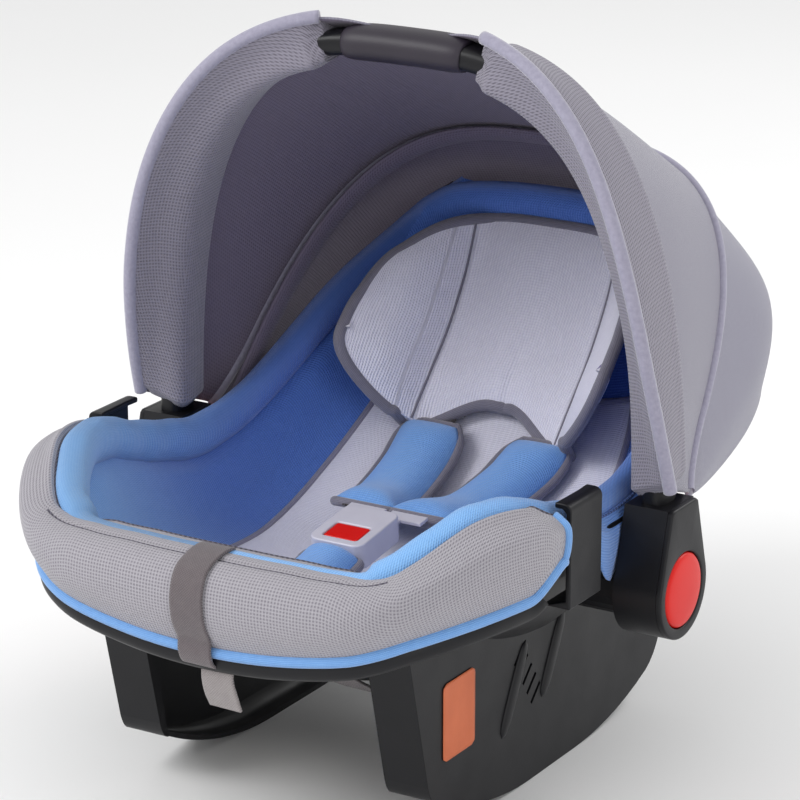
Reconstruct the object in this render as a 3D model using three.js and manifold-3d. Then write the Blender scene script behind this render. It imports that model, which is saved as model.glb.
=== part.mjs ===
// An infant carrier seat: a moulded tub on two rockers, padded soft goods, a five-point
// harness, a carry handle that swings back over the head end, and a folding canopy.
// Millimetres, +Z up, +X to the seat's left-hand hub, -Y towards the baby's feet.
import * as THREE from 'three';
import { mergeVertices } from 'three/addons/utils/BufferGeometryUtils.js';
import Module from 'manifold-3d';

const wasm = await Module();
wasm.setup();

// ---- Driving dimensions ----
const tubWidth = 346; // across the inner rim at its widest
const tubLength = 480; // front lip to head lip, seen from above
const headHeight = 347; // floor to the head lip
const bellyHeight = 59; // floor to the underside of the tub
const hubHeight = 146; // floor to the handle's axis
const fitGap = 0.3; // between pieces that touch
const runningGap = 0.6; // between pieces that move past each other

const shellWall = 4;
const coverThickness = 3;
const padThickness = 8;
const rimLipOut = 9; // how far the shell's rim stands outside the cover's rim
const rimLipDrop = 6;
const bumperThickness = 8;

const rockerThickness = 34;
const rockerWall = 3.5;
const rockerRadius = 280;
const rockerFlat = 64; // short flat at the lowest point
const rockerInset = 91; // centre plane to a rocker's inner side
const ventCount = 5;

const bowStripThickness = 2.6;
const hubDepth = 33; // housing only, without its cover
const hubCoverThickness = 3.7;
const hubRadius = 35;
const hubTop = 62; // axis to the top of the housing
const hubTopHalfWidth = 19;
const pivotRadius = 13;
const pivotBore = 9;
const buttonRadius = 26.5;
const bossRadius = 25; // of the boss on the tub's side that carries the pivot
const bossDepth = 60;
const handleClearance = 42; // head lip to the handle's centreline when it swings past
const bowClearance = 9; // head lip to the canopy bow when it swings past
const handleSquareness = 3; // of its arch: 2 is an ellipse, larger is squarer
const bowSquareness = 3.2;
const rearSquareness = 5; // of the canopy's rear edge
const barDepth = 28; // handle bar, front to back
const barHeight = 18;
const gripLength = 94;
const gripSwell = 3.5; // how far the grip stands over the bar
const gripSlack = 1.5; // grip's opening over the bar
const sleeveWall = 4;
const sleeveSlack = 3; // sleeve's opening over the bar
const sleeveReach = 8; // extra depth of the sleeve in front of and behind the bar
const sleeveEnd = 76; // centre plane to the sleeve's end beside the grip
const bowLean = 40.6; // canopy bow behind the handle, in degrees

const webbing = 25;
const webbingThickness = 1.6;
const wideWebbing = 38;
const slotSpacing = 100; // between the shoulder straps where they leave the cover
const buckleWidth = 44;
const buckleLength = 56;
const buckleThickness = 19;

// ---- Colours ----
function finish(colour, roughness, metalness = 0) {
  return new THREE.MeshStandardMaterial({ color: colour, roughness, metalness });
}
const blackPlastic = () => finish(0x1c1d22, 0.45);
const redPlastic = () => finish(0xd9241c, 0.4);
const greyMesh = () => finish(0x9a979f, 0.9);
const blueMesh = () => finish(0x5b86c9, 0.9);
const whiteKnit = () => finish(0xd6d3e2, 0.95);
const darkWebbing = () => finish(0x3a3338, 0.8);
const brownWebbing = () => finish(0x6d6462, 0.8);
const steel = () => finish(0xb5b7ba, 0.35, 0.9);

// ---- Geometry helpers ----
const lerp = THREE.MathUtils.lerp;
const radians = THREE.MathUtils.degToRad;

function flatCurve(points) {
  return new THREE.SplineCurve(points.map(([a, b]) => new THREE.Vector2(a, b)));
}

function spaceCurve(points) {
  return new THREE.CatmullRomCurve3(points.map((point) => new THREE.Vector3(...point)));
}

function merged(geometry) {
  const bare = geometry.clone();
  bare.deleteAttribute('normal');
  bare.deleteAttribute('uv');
  return mergeVertices(bare, 1e-4);
}

function signedVolume(geometry) {
  const place = geometry.attributes.position;
  const corner = [0, 1, 2].map(() => new THREE.Vector3());
  let volume = 0;
  for (let i = 0; i < geometry.index.count; i += 3) {
    corner.forEach((point, k) => point.fromBufferAttribute(place, geometry.index.getX(i + k)));
    volume += corner[0].dot(corner[1].clone().cross(corner[2]));
  }
  return volume;
}

// Merges shared corners and makes the faces point out.
function closed(geometry) {
  const whole = merged(geometry);
  if (signedVolume(whole) < 0) {
    const index = whole.index;
    for (let i = 0; i < index.count; i += 3) {
      const first = index.getX(i);
      index.setX(i, index.getX(i + 1));
      index.setX(i + 1, first);
    }
  }
  return whole;
}

// The solid between two surfaces, each given over u = -1..1 across and v = 0..1 along.
function between(lower, upper, across, along) {
  const geometry = new THREE.BoxGeometry(2, 1, 1, across, along, 1);
  const place = geometry.attributes.position;
  for (let i = 0; i < place.count; i += 1) {
    const surface = place.getZ(i) > 0 ? upper : lower;
    const point = surface(place.getX(i), place.getY(i) + 0.5);
    place.setXYZ(i, point.x, point.y, point.z);
  }
  // The underside's squares are split along the same diagonals as the top's, so that
  // stacked layers lie flat on each other.
  const corners = geometry.index;
  for (let i = corners.count - across * along * 6; i < corners.count; i += 6) {
    corners.setX(i + 2, corners.getX(i + 4));
    corners.setX(i + 3, corners.getX(i));
  }
  return closed(geometry);
}

// A surface at a set distance from one surface towards another.
function towards(from, to, distance) {
  return (u, v) => {
    const start = from(u, v);
    return start.add(to(u, v).sub(start).setLength(distance));
  };
}

// A surface at a set distance along its own normal.
function raised(surface, distance) {
  const step = 1e-3;
  return (u, v) => {
    const across = surface(u + step, v).sub(surface(u - step, v));
    const along = surface(u, v + step).sub(surface(u, v - step));
    return surface(u, v).add(across.cross(along).setLength(distance));
  };
}

function toManifold(geometry) {
  const whole = closed(geometry);
  const mesh = new wasm.Mesh({
    numProp: 3,
    vertProperties: new Float32Array(whole.attributes.position.array),
    triVerts: new Uint32Array(whole.index.array),
  });
  return new wasm.Manifold(mesh);
}

function fromManifold(manifold) {
  const mesh = manifold.getMesh();
  const geometry = new THREE.BufferGeometry();
  geometry.setAttribute('position', new THREE.BufferAttribute(mesh.vertProperties, 3));
  geometry.setIndex(new THREE.BufferAttribute(mesh.triVerts, 1));
  return geometry;
}

function cut(geometry, ...tools) {
  return fromManifold(tools.reduce((body, tool) => body.subtract(toManifold(tool)), toManifold(geometry)));
}

function join(...geometries) {
  return fromManifold(geometries.map(toManifold).reduce((body, more) => body.add(more)));
}

function mirrored(geometry) {
  return closed(geometry.clone().scale(-1, 1, 1));
}

// A plate whose outline is drawn in the Y-Z plane, from x = low to x = high.
function sidePlate(shape, low, high, segments = 12) {
  const plate = new THREE.ExtrudeGeometry(shape, {
    depth: high - low, bevelEnabled: false, curveSegments: segments,
  });
  // shape x -> Y, shape y -> Z, extrusion -> X
  const turn = new THREE.Matrix4().makeBasis(
    new THREE.Vector3(0, 1, 0), new THREE.Vector3(0, 0, 1), new THREE.Vector3(1, 0, 0));
  return closed(plate.applyMatrix4(turn).translate(low, 0, 0));
}

// A plate whose outline is drawn in the X-Z plane, from y = low to y = high.
function frontPlate(shape, low, high, segments = 8) {
  const plate = new THREE.ExtrudeGeometry(shape, {
    depth: high - low, bevelEnabled: false, curveSegments: segments,
  });
  return closed(plate.rotateX(Math.PI / 2).translate(0, high, 0));
}

// A round bar or ring along X.
function roundAlongX(radius, low, high, boreRadius = 0, sides = 24) {
  const profile = [
    new THREE.Vector2(boreRadius, low), new THREE.Vector2(radius, low),
    new THREE.Vector2(radius, high), new THREE.Vector2(boreRadius, high),
  ];
  if (boreRadius > 0) profile.push(profile[0].clone());
  return closed(new THREE.LatheGeometry(profile, sides).rotateZ(-Math.PI / 2));
}

function roundedBox(width, length, height, radius) {
  const shape = new THREE.Shape();
  const x = width / 2;
  const y = length / 2;
  shape.moveTo(-x + radius, -y);
  shape.lineTo(x - radius, -y);
  shape.absarc(x - radius, -y + radius, radius, -Math.PI / 2, 0);
  shape.lineTo(x, y - radius);
  shape.absarc(x - radius, y - radius, radius, 0, Math.PI / 2);
  shape.lineTo(-x + radius, y);
  shape.absarc(-x + radius, y - radius, radius, Math.PI / 2, Math.PI);
  shape.lineTo(-x, -y + radius);
  shape.absarc(-x + radius, -y + radius, radius, Math.PI, Math.PI * 1.5);
  const box = new THREE.ExtrudeGeometry(shape, { depth: height, bevelEnabled: false, curveSegments: 3 });
  return closed(box);
}

// A flat band that follows a line in the Y-Z plane; its bottom face runs along the line.
// offsetX and width may be numbers or functions of the distance along, 0..1.
function band(line, offsetX, width, thickness, steps, columns = 2) {
  const value = (given, v) => (typeof given === 'function' ? given(v) : given);
  const surface = (height) => (u, v) => {
    const place = line.getPoint(v);
    const run = line.getTangent(v);
    const rise = typeof height === 'function' ? height(u, v) : height;
    const x = value(offsetX, v) + u * value(width, v) / 2;
    return new THREE.Vector3(x, place.x - run.y * rise, place.y + run.x * rise);
  };
  return between(surface(0), surface(thickness), columns, steps);
}

const seat = new THREE.Group();

function add(group, name, geometry, material) {
  const mesh = new THREE.Mesh(geometry, material);
  mesh.name = name;
  group.add(mesh);
}

function addPair(group, name, geometry, material) {
  add(group, `${name}_right`, geometry, material());
  add(group, `${name}_left`, mirrored(geometry), material());
}

// ---- Tub: the lines that the shell, the liner, the cover and the bumper share ----
// The outline is drawn on a tub 346 wide, 480 long and 332 high, with the hubs at y = 0.
const wide = tubWidth / 346;
const long = tubLength / 480;
const tall = (headHeight - bellyHeight) / (332 - 44);
const lift = (z) => bellyHeight + (z - 44) * tall;

// From the front lip to the head lip: the right-hand rim, then the cover's and the shell's
// centre line, then (at the front only) the lower edge of the bumper.
const stations = [
  { rim: [106, -246, 186], cover: [-248, 184], shell: [-255, 172], hem: 132 },
  { rim: [134, -230, 206], cover: [-205, 156], shell: [-200, 116], hem: 144 },
  { rim: [158, -190, 228], cover: [-150, 125], shell: [-140, 75], hem: 160 },
  { rim: [170, -140, 224], cover: [-95, 109], shell: [-85, 50], hem: 168 },
  { rim: [173, -88, 203], cover: [-50, 104], shell: [-40, 44], hem: 171 },
  { rim: [170, -35, 187], cover: [-8, 106], shell: [5, 44] },
  { rim: [168, 30, 194], cover: [45, 117], shell: [55, 51] },
  { rim: [163, 95, 222], cover: [100, 142], shell: [105, 76] },
  { rim: [151, 155, 260], cover: [150, 182], shell: [150, 120] },
  { rim: [132, 197, 292], cover: [188, 238], shell: [195, 196] },
  { rim: [110, 217, 316], cover: [212, 296], shell: [228, 270] },
  { rim: [88, 226, 332], cover: [222, 330], shell: [238, 322] },
];
const rimPoint = ({ rim: [x, y, z] }) => [x * wide, y * long, lift(z)];
const rimLine = spaceCurve(stations.map(rimPoint));
const coverLine = flatCurve(stations.map(({ cover: [y, z] }) => [y * long, lift(z)]));
const shellLine = flatCurve(stations.map(({ shell: [y, z] }) => [y * long, lift(z)]));
const coverSquareness = 2.6;
const shellSquareness = 1.7;
const tubAcross = 14;
const tubAlong = 22;

function tubSurface(floorLine, squareness, lipOut, lipDrop) {
  return (u, v) => {
    const turn = u * Math.PI / 2;
    const side = Math.sign(u) * Math.abs(Math.sin(turn)) ** (2 / squareness);
    const rise = 1 - Math.abs(Math.cos(turn)) ** (2 / squareness);
    const along = THREE.MathUtils.clamp(v, 0, 1);
    const rim = rimLine.getPoint(along);
    const floor = floorLine.getPoint(along);
    return new THREE.Vector3(
      (rim.x + lipOut) * side, lerp(floor.x, rim.y, rise), lerp(floor.y, rim.z - lipDrop, rise));
  };
}
const shellOutside = tubSurface(shellLine, shellSquareness, rimLipOut, rimLipDrop);
const coverTop = tubSurface(coverLine, coverSquareness, 0, 0);
const coverUnder = towards(coverTop, shellOutside, coverThickness);

// Everything above the tub's outside, kept clear by a gap: cuts the rockers and bosses to fit.
function tubFill(gap) {
  const below = towards(shellOutside, coverTop, -gap);
  const above = (u, v) => below(u, v).setZ(headHeight * 2);
  const fill = between(below, above, tubAcross, tubAlong);
  return join(fill, mirrored(fill));
}

const hubInner = (tubWidth / 2) + rimLipOut + 0.2; // hub housing's inner face
const bowStripInner = hubInner - bowStripThickness - runningGap;
const hubOuter = hubInner + hubDepth;
const coverOuter = hubOuter + fitGap + hubCoverThickness;

// ---- Harness line: from the tongue up the torso, through the slot, to the yoke ----
const slotY = 130 * long;
const slotZ = lift(170);
const slotDepth = 90;
const slotHeight = 10;
const slotSlope = 45; // degrees down towards the back

function strapSlots() {
  return [-1, 1].map((side) => {
    const slot = new THREE.BoxGeometry(webbing + 6, slotDepth, slotHeight);
    slot.rotateX(radians(-slotSlope));
    return slot.translate(side * slotSpacing / 2, slotY + 20, slotZ - 17);
  });
}

// ---- Shell group ----
function seatShell() {
  const shellInside = towards(shellOutside, coverTop, shellWall);
  return cut(between(shellOutside, shellInside, tubAcross, tubAlong), ...strapSlots());
}

function foamLiner() {
  const low = towards(shellOutside, coverTop, shellWall + fitGap);
  const high = towards(coverTop, shellOutside, coverThickness + fitGap * 3);
  return cut(between(low, high, tubAcross, tubAlong), ...strapSlots(), adjusterPocket());
}

function seatCover() {
  return cut(between(coverUnder, coverTop, tubAcross, tubAlong), ...strapSlots(), adjusterSlit());
}

// The bumper follows the rim from beside one belt guide, round the front, to the other.
const bumperStations = stations.slice(0, 5);
const frontCentre = [
  [54 * wide, -251 * long, lift(185)], [0, -252 * long, lift(185)], [-54 * wide, -251 * long, lift(185)],
];
const rightRim = bumperStations.map(rimPoint);
const leftRim = rightRim.map(([x, y, z]) => [-x, y, z]);
const bumperPath = spaceCurve([...rightRim.slice().reverse(), ...frontCentre, ...leftRim]);
const rightHems = bumperStations.map(({ hem }) => [0, lift(hem)]);
const frontHem = [0, lift(131)];
const hemLine = flatCurve([
  ...rightHems.slice().reverse(), frontHem, frontHem, frontHem, ...rightHems,
]);
const bumperStart = 0.062; // the last stretch of the path lies behind the belt guide

// Its section, as distance outside the rim and share of the height from crest to hem.
const bumperSection = flatCurve([[1, 0.08], [9, 0], [20, 0.12], [28, 0.38], [26, 0.7], [17, 1]]);
const bumperCrest = 17; // above the cover's rim

function bumperSurface(inset) {
  return (u, v) => {
    const along = lerp(bumperStart, 1 - bumperStart, (u + 1) / 2);
    const rim = bumperPath.getPoint(along);
    const run = bumperPath.getTangent(along);
    const outward = new THREE.Vector3(run.y, -run.x, 0).normalize().negate();
    const section = bumperSection.getPoint(v);
    const sectionRun = bumperSection.getTangent(v);
    const crest = rim.z + bumperCrest;
    const drop = crest - hemLine.getPoint(along).y;
    const slope = new THREE.Vector2(sectionRun.x, -sectionRun.y * drop).normalize();
    const out = section.x + slope.y * inset;
    const up = crest - section.y * drop - slope.x * inset;
    return new THREE.Vector3(rim.x + outward.x * out, rim.y + outward.y * out, up);
  };
}

function frontBumper() {
  return cut(between(bumperSurface(bumperThickness), bumperSurface(0), 28, 6), adjusterSlit());
}

// Rocker outline in the Y-Z plane, moved in by a wall thickness for the hollow.
const rockerMiddle = -10;
const toeReach = 132; // from the flat to the toe, and to the heel
const heelReach = 108;
const toeAngle = Math.asin(toeReach / rockerRadius);
const heelAngle = Math.asin(heelReach / rockerRadius);

function rockerOutline(inset) {
  const shape = new THREE.Shape();
  const low = -Math.PI / 2;
  const radius = rockerRadius - inset;
  const front = rockerMiddle - rockerFlat / 2;
  const back = rockerMiddle + rockerFlat / 2;
  const heelY = back + radius * Math.sin(heelAngle);
  const heelZ = rockerRadius - radius * Math.cos(heelAngle);
  const toeY = front - radius * Math.sin(toeAngle);
  const toeZ = rockerRadius - radius * Math.cos(toeAngle);
  shape.moveTo(front, inset);
  shape.lineTo(back, inset);
  shape.absarc(back, rockerRadius, radius, low, low + heelAngle);
  shape.quadraticCurveTo(heelY + 26, heelZ + 12, heelY + 30 - inset * 2, heelZ + 60);
  shape.lineTo(heelY + 22 - inset * 2, lift(200) - inset);
  shape.lineTo(toeY - 52 + inset * 2, lift(200) - inset);
  shape.lineTo(toeY - 12 + inset * 1.6, toeZ + 18);
  shape.quadraticCurveTo(toeY - 8 + inset, toeZ, toeY, toeZ);
  shape.absarc(front, rockerRadius, radius, low - toeAngle, low);
  return shape;
}

function ventSlot(index) {
  const slot = new THREE.BoxGeometry(rockerThickness, 3, 17);
  slot.rotateX(radians(-46));
  return slot.translate(rockerInset + rockerThickness, -62 + index * 6, 100 - index * 9);
}

function rocker() {
  const outerX = rockerInset + rockerThickness;
  const block = sidePlate(rockerOutline(0), rockerInset, outerX, 7);
  const hollow = sidePlate(rockerOutline(rockerWall), rockerInset - 1, outerX - rockerWall, 7);
  const vents = Array.from({ length: ventCount }, (_, index) => ventSlot(index));
  return cut(block, hollow, tubFill(fitGap), pivotBoss(fitGap), ...vents);
}

// A hooked plate that keeps the vehicle belt on the rim.
const guideFront = -118;
const guideBack = -74;

function beltGuide() {
  const rimTop = rimLine.getPoint(4 / 11);
  const outer = rimTop.x + rimLipOut + 12;
  const wall = 4;
  const top = rimTop.z + 21;
  const inner = rimTop.x - 12;
  const shape = new THREE.Shape();
  shape.moveTo(outer, lift(150));
  shape.lineTo(outer, top - 6);
  shape.quadraticCurveTo(outer, top, outer - 7, top);
  shape.lineTo(inner, top);
  shape.lineTo(inner, top - wall);
  shape.lineTo(outer - wall - 3, top - wall);
  shape.lineTo(outer - wall, top - wall - 3);
  shape.lineTo(outer - wall, lift(150) + 6);
  shape.lineTo(outer - 22, lift(150));
  const hook = frontPlate(shape, guideFront * long, guideBack * long);
  return cut(hook, tubFill(fitGap));
}

// Boss on the tub's side, with the hollow shaft that the handle and canopy bow turn on.
function pivotBoss(gap) {
  const [inner, outer] = [hubInner - bossDepth, bowStripInner - runningGap];
  return roundAlongX(bossRadius + gap, inner - gap, outer + gap).translate(0, 0, hubHeight);
}

function hubPivot() {
  const boss = pivotBoss(0);
  const shaft = roundAlongX(pivotRadius, hubInner - 30, hubInner + 12).translate(0, 0, hubHeight);
  const bore = roundAlongX(pivotBore, hubInner - 8, hubInner + 13, 0, 24).translate(0, 0, hubHeight);
  return cut(join(boss, shaft), tubFill(fitGap), bore);
}

const shellGroup = new THREE.Group();
seat.add(shellGroup);

// ---- Harness tightener under the front of the cover ----
const adjusterPlace = coverLine.getPoint(0.13);
const adjusterSlope = -27;
const adjusterDepth = 17 * tall; // below the cover, deeper in a deeper tub

function atAdjuster(geometry) {
  geometry.rotateX(radians(adjusterSlope));
  return geometry.translate(0, adjusterPlace.x, adjusterPlace.y - adjusterDepth);
}

function adjusterPocket() {
  return atAdjuster(new THREE.BoxGeometry(42, 34, 30));
}

function adjusterSlit() {
  const slit = new THREE.BoxGeometry(webbing + 4, 6, 60);
  return slit.translate(0, (-252 + 8) * long, lift(200));
}

// ---- Soft goods on the cover ----
const padGap = 2; // a padded layer's slack over the cover
const padSpread = 0.36; // the seat pad's share of the cover's way up each side
const padReach = [0.07, 0.68]; // and its ends along the cover

function padBase() {
  return (u, v) => coverTop(u * padSpread, lerp(...padReach, v));
}

function seatPad() {
  const base = padBase();
  const pad = between(raised(base, padGap), raised(base, padGap + padThickness), 10, 12);
  return cut(pad, ...strapSlots());
}

// What the head support must keep clear of: the cover, and the seat pad's upper end.
function coverFill(gap) {
  const top = towards(coverTop, shellOutside, -gap);
  return between(towards(shellOutside, coverTop, -20), top, tubAcross, tubAlong);
}

function padFill(gap) {
  const base = padBase();
  return between(raised(base, padGap - gap), raised(base, padGap + padThickness + gap), 10, 12);
}

// Winged cushion at the head end; the front face runs up this line.
const headLine = flatCurve([
  [136 * long, lift(196)], [166 * long, lift(222)], [194 * long, lift(262)], [214 * long, lift(308)],
]);
const headHalfWidth = 112;
const headThickness = 22;
const wingForward = 40;

function headSurface(depth) {
  return (u, v) => {
    const place = headLine.getPoint(THREE.MathUtils.clamp(v, 0, 1));
    const run = headLine.getTangent(THREE.MathUtils.clamp(v, 0, 1));
    const forward = wingForward * Math.abs(u) ** 2.4 - depth;
    const narrowing = 1 - 0.12 * (2 * v - 1) ** 4;
    return new THREE.Vector3(
      u * headHalfWidth * narrowing, place.x - run.y * forward, place.y + run.x * forward);
  };
}

function headSupport() {
  const cushion = between(headSurface(headThickness), headSurface(0), 12, 8);
  return cut(cushion, coverFill(padGap), padFill(padGap), ...strapSlots());
}

// Shoulder straps: under the pads from the buckle, up to the slot, then through the tub.
const strapLine = flatCurve([
  [-22, lift(150)], [2, lift(137)], [34, lift(136)], [80, lift(154)],
  [slotY - 5, slotZ + 8], [slotY + 20, slotZ - 17], [slotY + 44, slotZ - 41],
]);

function strapOffset(v) {
  return lerp(19, slotSpacing / 2, Math.min(1, v * 1.6));
}

function shoulderStrap() {
  return band(strapLine, strapOffset, webbing, webbingThickness, 20, 1);
}

// Part of a line, moved off it to one side.
function stretch(line, from, to, rise) {
  const pointAt = (v) => lerp(from, to, v);
  return {
    getTangent: (v) => line.getTangent(pointAt(v)),
    getPoint: (v) => {
      const place = line.getPoint(pointAt(v));
      const run = line.getTangent(pointAt(v));
      return new THREE.Vector2(place.x - run.y * rise, place.y + run.x * rise);
    },
  };
}

const harnessPadWidth = 46;
const padOverStrap = webbingThickness + 1.4;

// A harness pad's height: full in the middle, rolled down at its edges.
function padCrown(u, v) {
  return 4 + 8 * (1 - u ** 4) * (1 - (2 * v - 1) ** 6);
}

function shoulderPad() {
  const [from, to] = [0.1, 0.62];
  const line = stretch(strapLine, from, to, padOverStrap);
  return band(line, (v) => strapOffset(lerp(from, to, v)) + 6 * (1 - v), harnessPadWidth, padCrown, 10, 4);
}

// ---- Buckle, tongues and crotch strap ----
const buckleY = -72;
const buckleZ = lift(140) + 2;
const buckleTilt = 8;

function atBuckle(geometry, x = 0, y = 0, z = 0) {
  return geometry.translate(x, y, z).rotateX(radians(buckleTilt)).translate(0, buckleY, buckleZ);
}

const buckleButtonWidth = 27;
const buckleButtonLength = 20;

function buckleHousing() {
  const body = roundedBox(buckleWidth, buckleLength, buckleThickness, 8);
  const well = roundedBox(buckleButtonWidth + 1.2, buckleButtonLength + 1.2, buckleThickness, 2.5);
  well.translate(0, -10, 7);
  const mouth = new THREE.BoxGeometry(buckleWidth - 8, 20, 5).translate(0, buckleLength / 2, 8);
  return atBuckle(cut(body, well, mouth));
}

function buckleButton() {
  const cap = roundedBox(buckleButtonWidth, buckleButtonLength, buckleThickness - 9.5, 2);
  return atBuckle(cap, 0, -10, 9);
}

// A steel blade in the buckle's mouth with a webbing loop end outside.
function buckleTongue() {
  const blade = new THREE.BoxGeometry(12, 22, 2.4).translate(9, buckleLength / 2 + 3, 8);
  const loop = new THREE.BoxGeometry(webbing + 4, 11, 2.4).translate(17, buckleLength / 2 + 13, 8);
  return atBuckle(join(blade, loop));
}

const crotchLine = flatCurve([
  [buckleY - buckleLength / 2 - 40, lift(133)], [buckleY - buckleLength / 2 - 18, lift(136)],
  [buckleY - buckleLength / 2 - 2, lift(139)],
]);

function crotchStrap() {
  return band(crotchLine, 0, webbing, webbingThickness, 6, 1);
}

function crotchPad() {
  return band(stretch(crotchLine, 0, 0.82, padOverStrap), 0, harnessPadWidth, padCrown, 6, 4);
}

// ---- Behind and under the tub ----
function harnessYoke() {
  const plate = new THREE.BoxGeometry(slotSpacing + webbing + 12, 3, 26);
  return plate.rotateX(radians(-48)).translate(0, slotY + 54, slotZ - 62);
}

function underLine(gap) {
  return flatCurve([0.02, 0.1, 0.2, 0.3].map((v) => {
    const place = shellLine.getPoint(v);
    const run = shellLine.getTangent(v);
    return [place.x + run.y * gap, place.y - run.x * gap];
  }));
}

function underStrap() {
  return band(underLine(3), 45, wideWebbing, webbingThickness, 14, 1);
}

function bellySticker() {
  return band(underLine(2.2), -30, 50, 0.6, 10, 1);
}

function sideSticker() {
  const outerX = rockerInset + rockerThickness + fitGap;
  const shape = new THREE.Shape();
  shape.moveTo(-168, 56);
  shape.lineTo(-122, 56);
  shape.lineTo(-122, 116);
  shape.lineTo(-168, 116);
  return sidePlate(shape, outerX, outerX + 0.6);
}

// Pull strap: from the slit at the top of the bumper, over the front, to its loose tail.
function adjusterStrap() {
  const front = bumperSurface(-2);
  const points = [0.12, 0.3, 0.5, 0.7, 0.88, 1].map((v) => {
    const place = front(0, v);
    return [place.y, place.z];
  });
  const [tailY, tailZ] = points[points.length - 1];
  const line = flatCurve([...points, [tailY + 8, tailZ - 18], [tailY + 14, tailZ - 40]]);
  return band(line, 0, webbing, (u, v) => -webbingThickness, 22, 1);
}

function adjusterBody() {
  const frame = new THREE.BoxGeometry(34, 26, 12).translate(0, 0, -6);
  const mouth = new THREE.BoxGeometry(webbing + 1, 30, 6).translate(0, 0, -3);
  const pinHole = roundAlongX(1.9, -20, 20, 0, 12).translate(0, 0, -3);
  return atAdjuster(cut(frame, mouth, pinHole));
}

const leverX = webbing - 1;

function adjusterLever() {
  const blade = new THREE.BoxGeometry(leverX, 14, 2.6).translate(0, 3, -1.5);
  const knuckle = roundAlongX(2.7, -leverX / 2, leverX / 2, 0, 12).translate(0, 0, -3);
  const bore = roundAlongX(1.9, -20, 20, 0, 12).translate(0, 0, -3);
  return atAdjuster(cut(join(blade, knuckle), bore));
}

function adjusterPin() {
  return atAdjuster(roundAlongX(1.5, -17, 17, 0, 12).translate(0, 0, -3));
}

add(shellGroup, 'seat_shell', seatShell(), blackPlastic());
addPair(shellGroup, 'rocker', rocker(), blackPlastic);
addPair(shellGroup, 'belt_guide', beltGuide(), blackPlastic);
addPair(shellGroup, 'hub_pivot', hubPivot(), blackPlastic);
add(shellGroup, 'foam_liner', foamLiner(), finish(0xe8e8e6, 0.9));
add(shellGroup, 'seat_cover', seatCover(), blueMesh());
add(shellGroup, 'front_bumper', frontBumper(), greyMesh());
add(shellGroup, 'seat_pad', seatPad(), whiteKnit());
add(shellGroup, 'head_support', headSupport(), whiteKnit());
addPair(shellGroup, 'shoulder_strap', shoulderStrap(), darkWebbing);
addPair(shellGroup, 'shoulder_pad', shoulderPad(), blueMesh);
add(shellGroup, 'buckle_housing', buckleHousing(), finish(0xc9c7d2, 0.4));
add(shellGroup, 'buckle_button', buckleButton(), redPlastic());
addPair(shellGroup, 'buckle_tongue', buckleTongue(), steel);
add(shellGroup, 'crotch_strap', crotchStrap(), darkWebbing());
add(shellGroup, 'crotch_pad', crotchPad(), blueMesh());
add(shellGroup, 'harness_yoke', harnessYoke(), steel());
add(shellGroup, 'under_strap', underStrap(), brownWebbing());
add(shellGroup, 'belly_sticker', bellySticker(), finish(0xe4e1dc, 0.6));
add(shellGroup, 'side_sticker', sideSticker(), finish(0xc8653f, 0.6));
add(shellGroup, 'adjuster_strap', adjusterStrap(), brownWebbing());
add(shellGroup, 'adjuster_body', adjusterBody(), steel());
add(shellGroup, 'adjuster_lever', adjusterLever(), steel());
add(shellGroup, 'adjuster_pin', adjusterPin(), steel());

// ---- Handle group, drawn about the hub axis ----
const handle = new THREE.Group();
handle.position.z = hubHeight;
seat.add(handle);

const headLip = stations[stations.length - 1];
const headRadius = Math.hypot(headLip.cover[0] * long + 16, lift(headLip.cover[1]) + 4 - hubHeight);
const handleRise = headRadius + handleClearance;
const handleHalfWidth = hubInner + hubDepth / 2;
const bowRise = headRadius + bowClearance;
const bowHalfWidth = bowStripInner + bowStripThickness / 2;

// An arch in the X-Z plane between two directions from the hub axis.
class Arch extends THREE.Curve {
  constructor(halfWidth, rise, fromAngle, toAngle, squareness = handleSquareness) {
    super();
    Object.assign(this, { halfWidth, rise, fromAngle, toAngle, squareness });
  }

  getPoint(t, target = new THREE.Vector3()) {
    const angle = lerp(this.fromAngle, this.toAngle, t);
    const across = Math.abs(Math.cos(angle)) / this.halfWidth;
    const up = Math.abs(Math.sin(angle)) / this.rise;
    const reach = (across ** this.squareness + up ** this.squareness) ** (-1 / this.squareness);
    return target.set(reach * Math.cos(angle), 0, reach * Math.sin(angle));
  }
}

// The direction from the hub axis at which the handle's arch passes x = halfX.
function archAngleAt(halfX) {
  const up = (1 - (halfX / handleHalfWidth) ** handleSquareness) ** (1 / handleSquareness);
  return Math.atan2(handleRise * up, halfX);
}
const archFoot = Math.atan2(hubTop + fitGap, handleHalfWidth);

function oval(width, height, points = 10) {
  const shape = new THREE.Shape();
  const corners = Array.from({ length: points }, (_, k) => {
    const angle = (k + 0.5) * 2 * Math.PI / points;
    return new THREE.Vector2(Math.cos(angle) * width / 2, Math.sin(angle) * height / 2);
  });
  return shape.setFromPoints(corners);
}

function alongArch(shape, arch, steps) {
  return closed(new THREE.ExtrudeGeometry(shape, { steps, extrudePath: arch }));
}

function handleBow() {
  const arch = new Arch(handleHalfWidth, handleRise, archFoot, Math.PI - archFoot);
  return alongArch(oval(barDepth, barHeight), arch, 30);
}

function handleGrip() {
  const end = archAngleAt(gripLength / 2);
  const arch = new Arch(handleHalfWidth, handleRise, end, Math.PI - end);
  const shape = oval(barDepth + gripSwell * 2, barHeight + gripSwell * 2);
  shape.holes.push(oval(barDepth + gripSlack, barHeight + gripSlack));
  return alongArch(shape, arch, 10);
}

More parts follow.
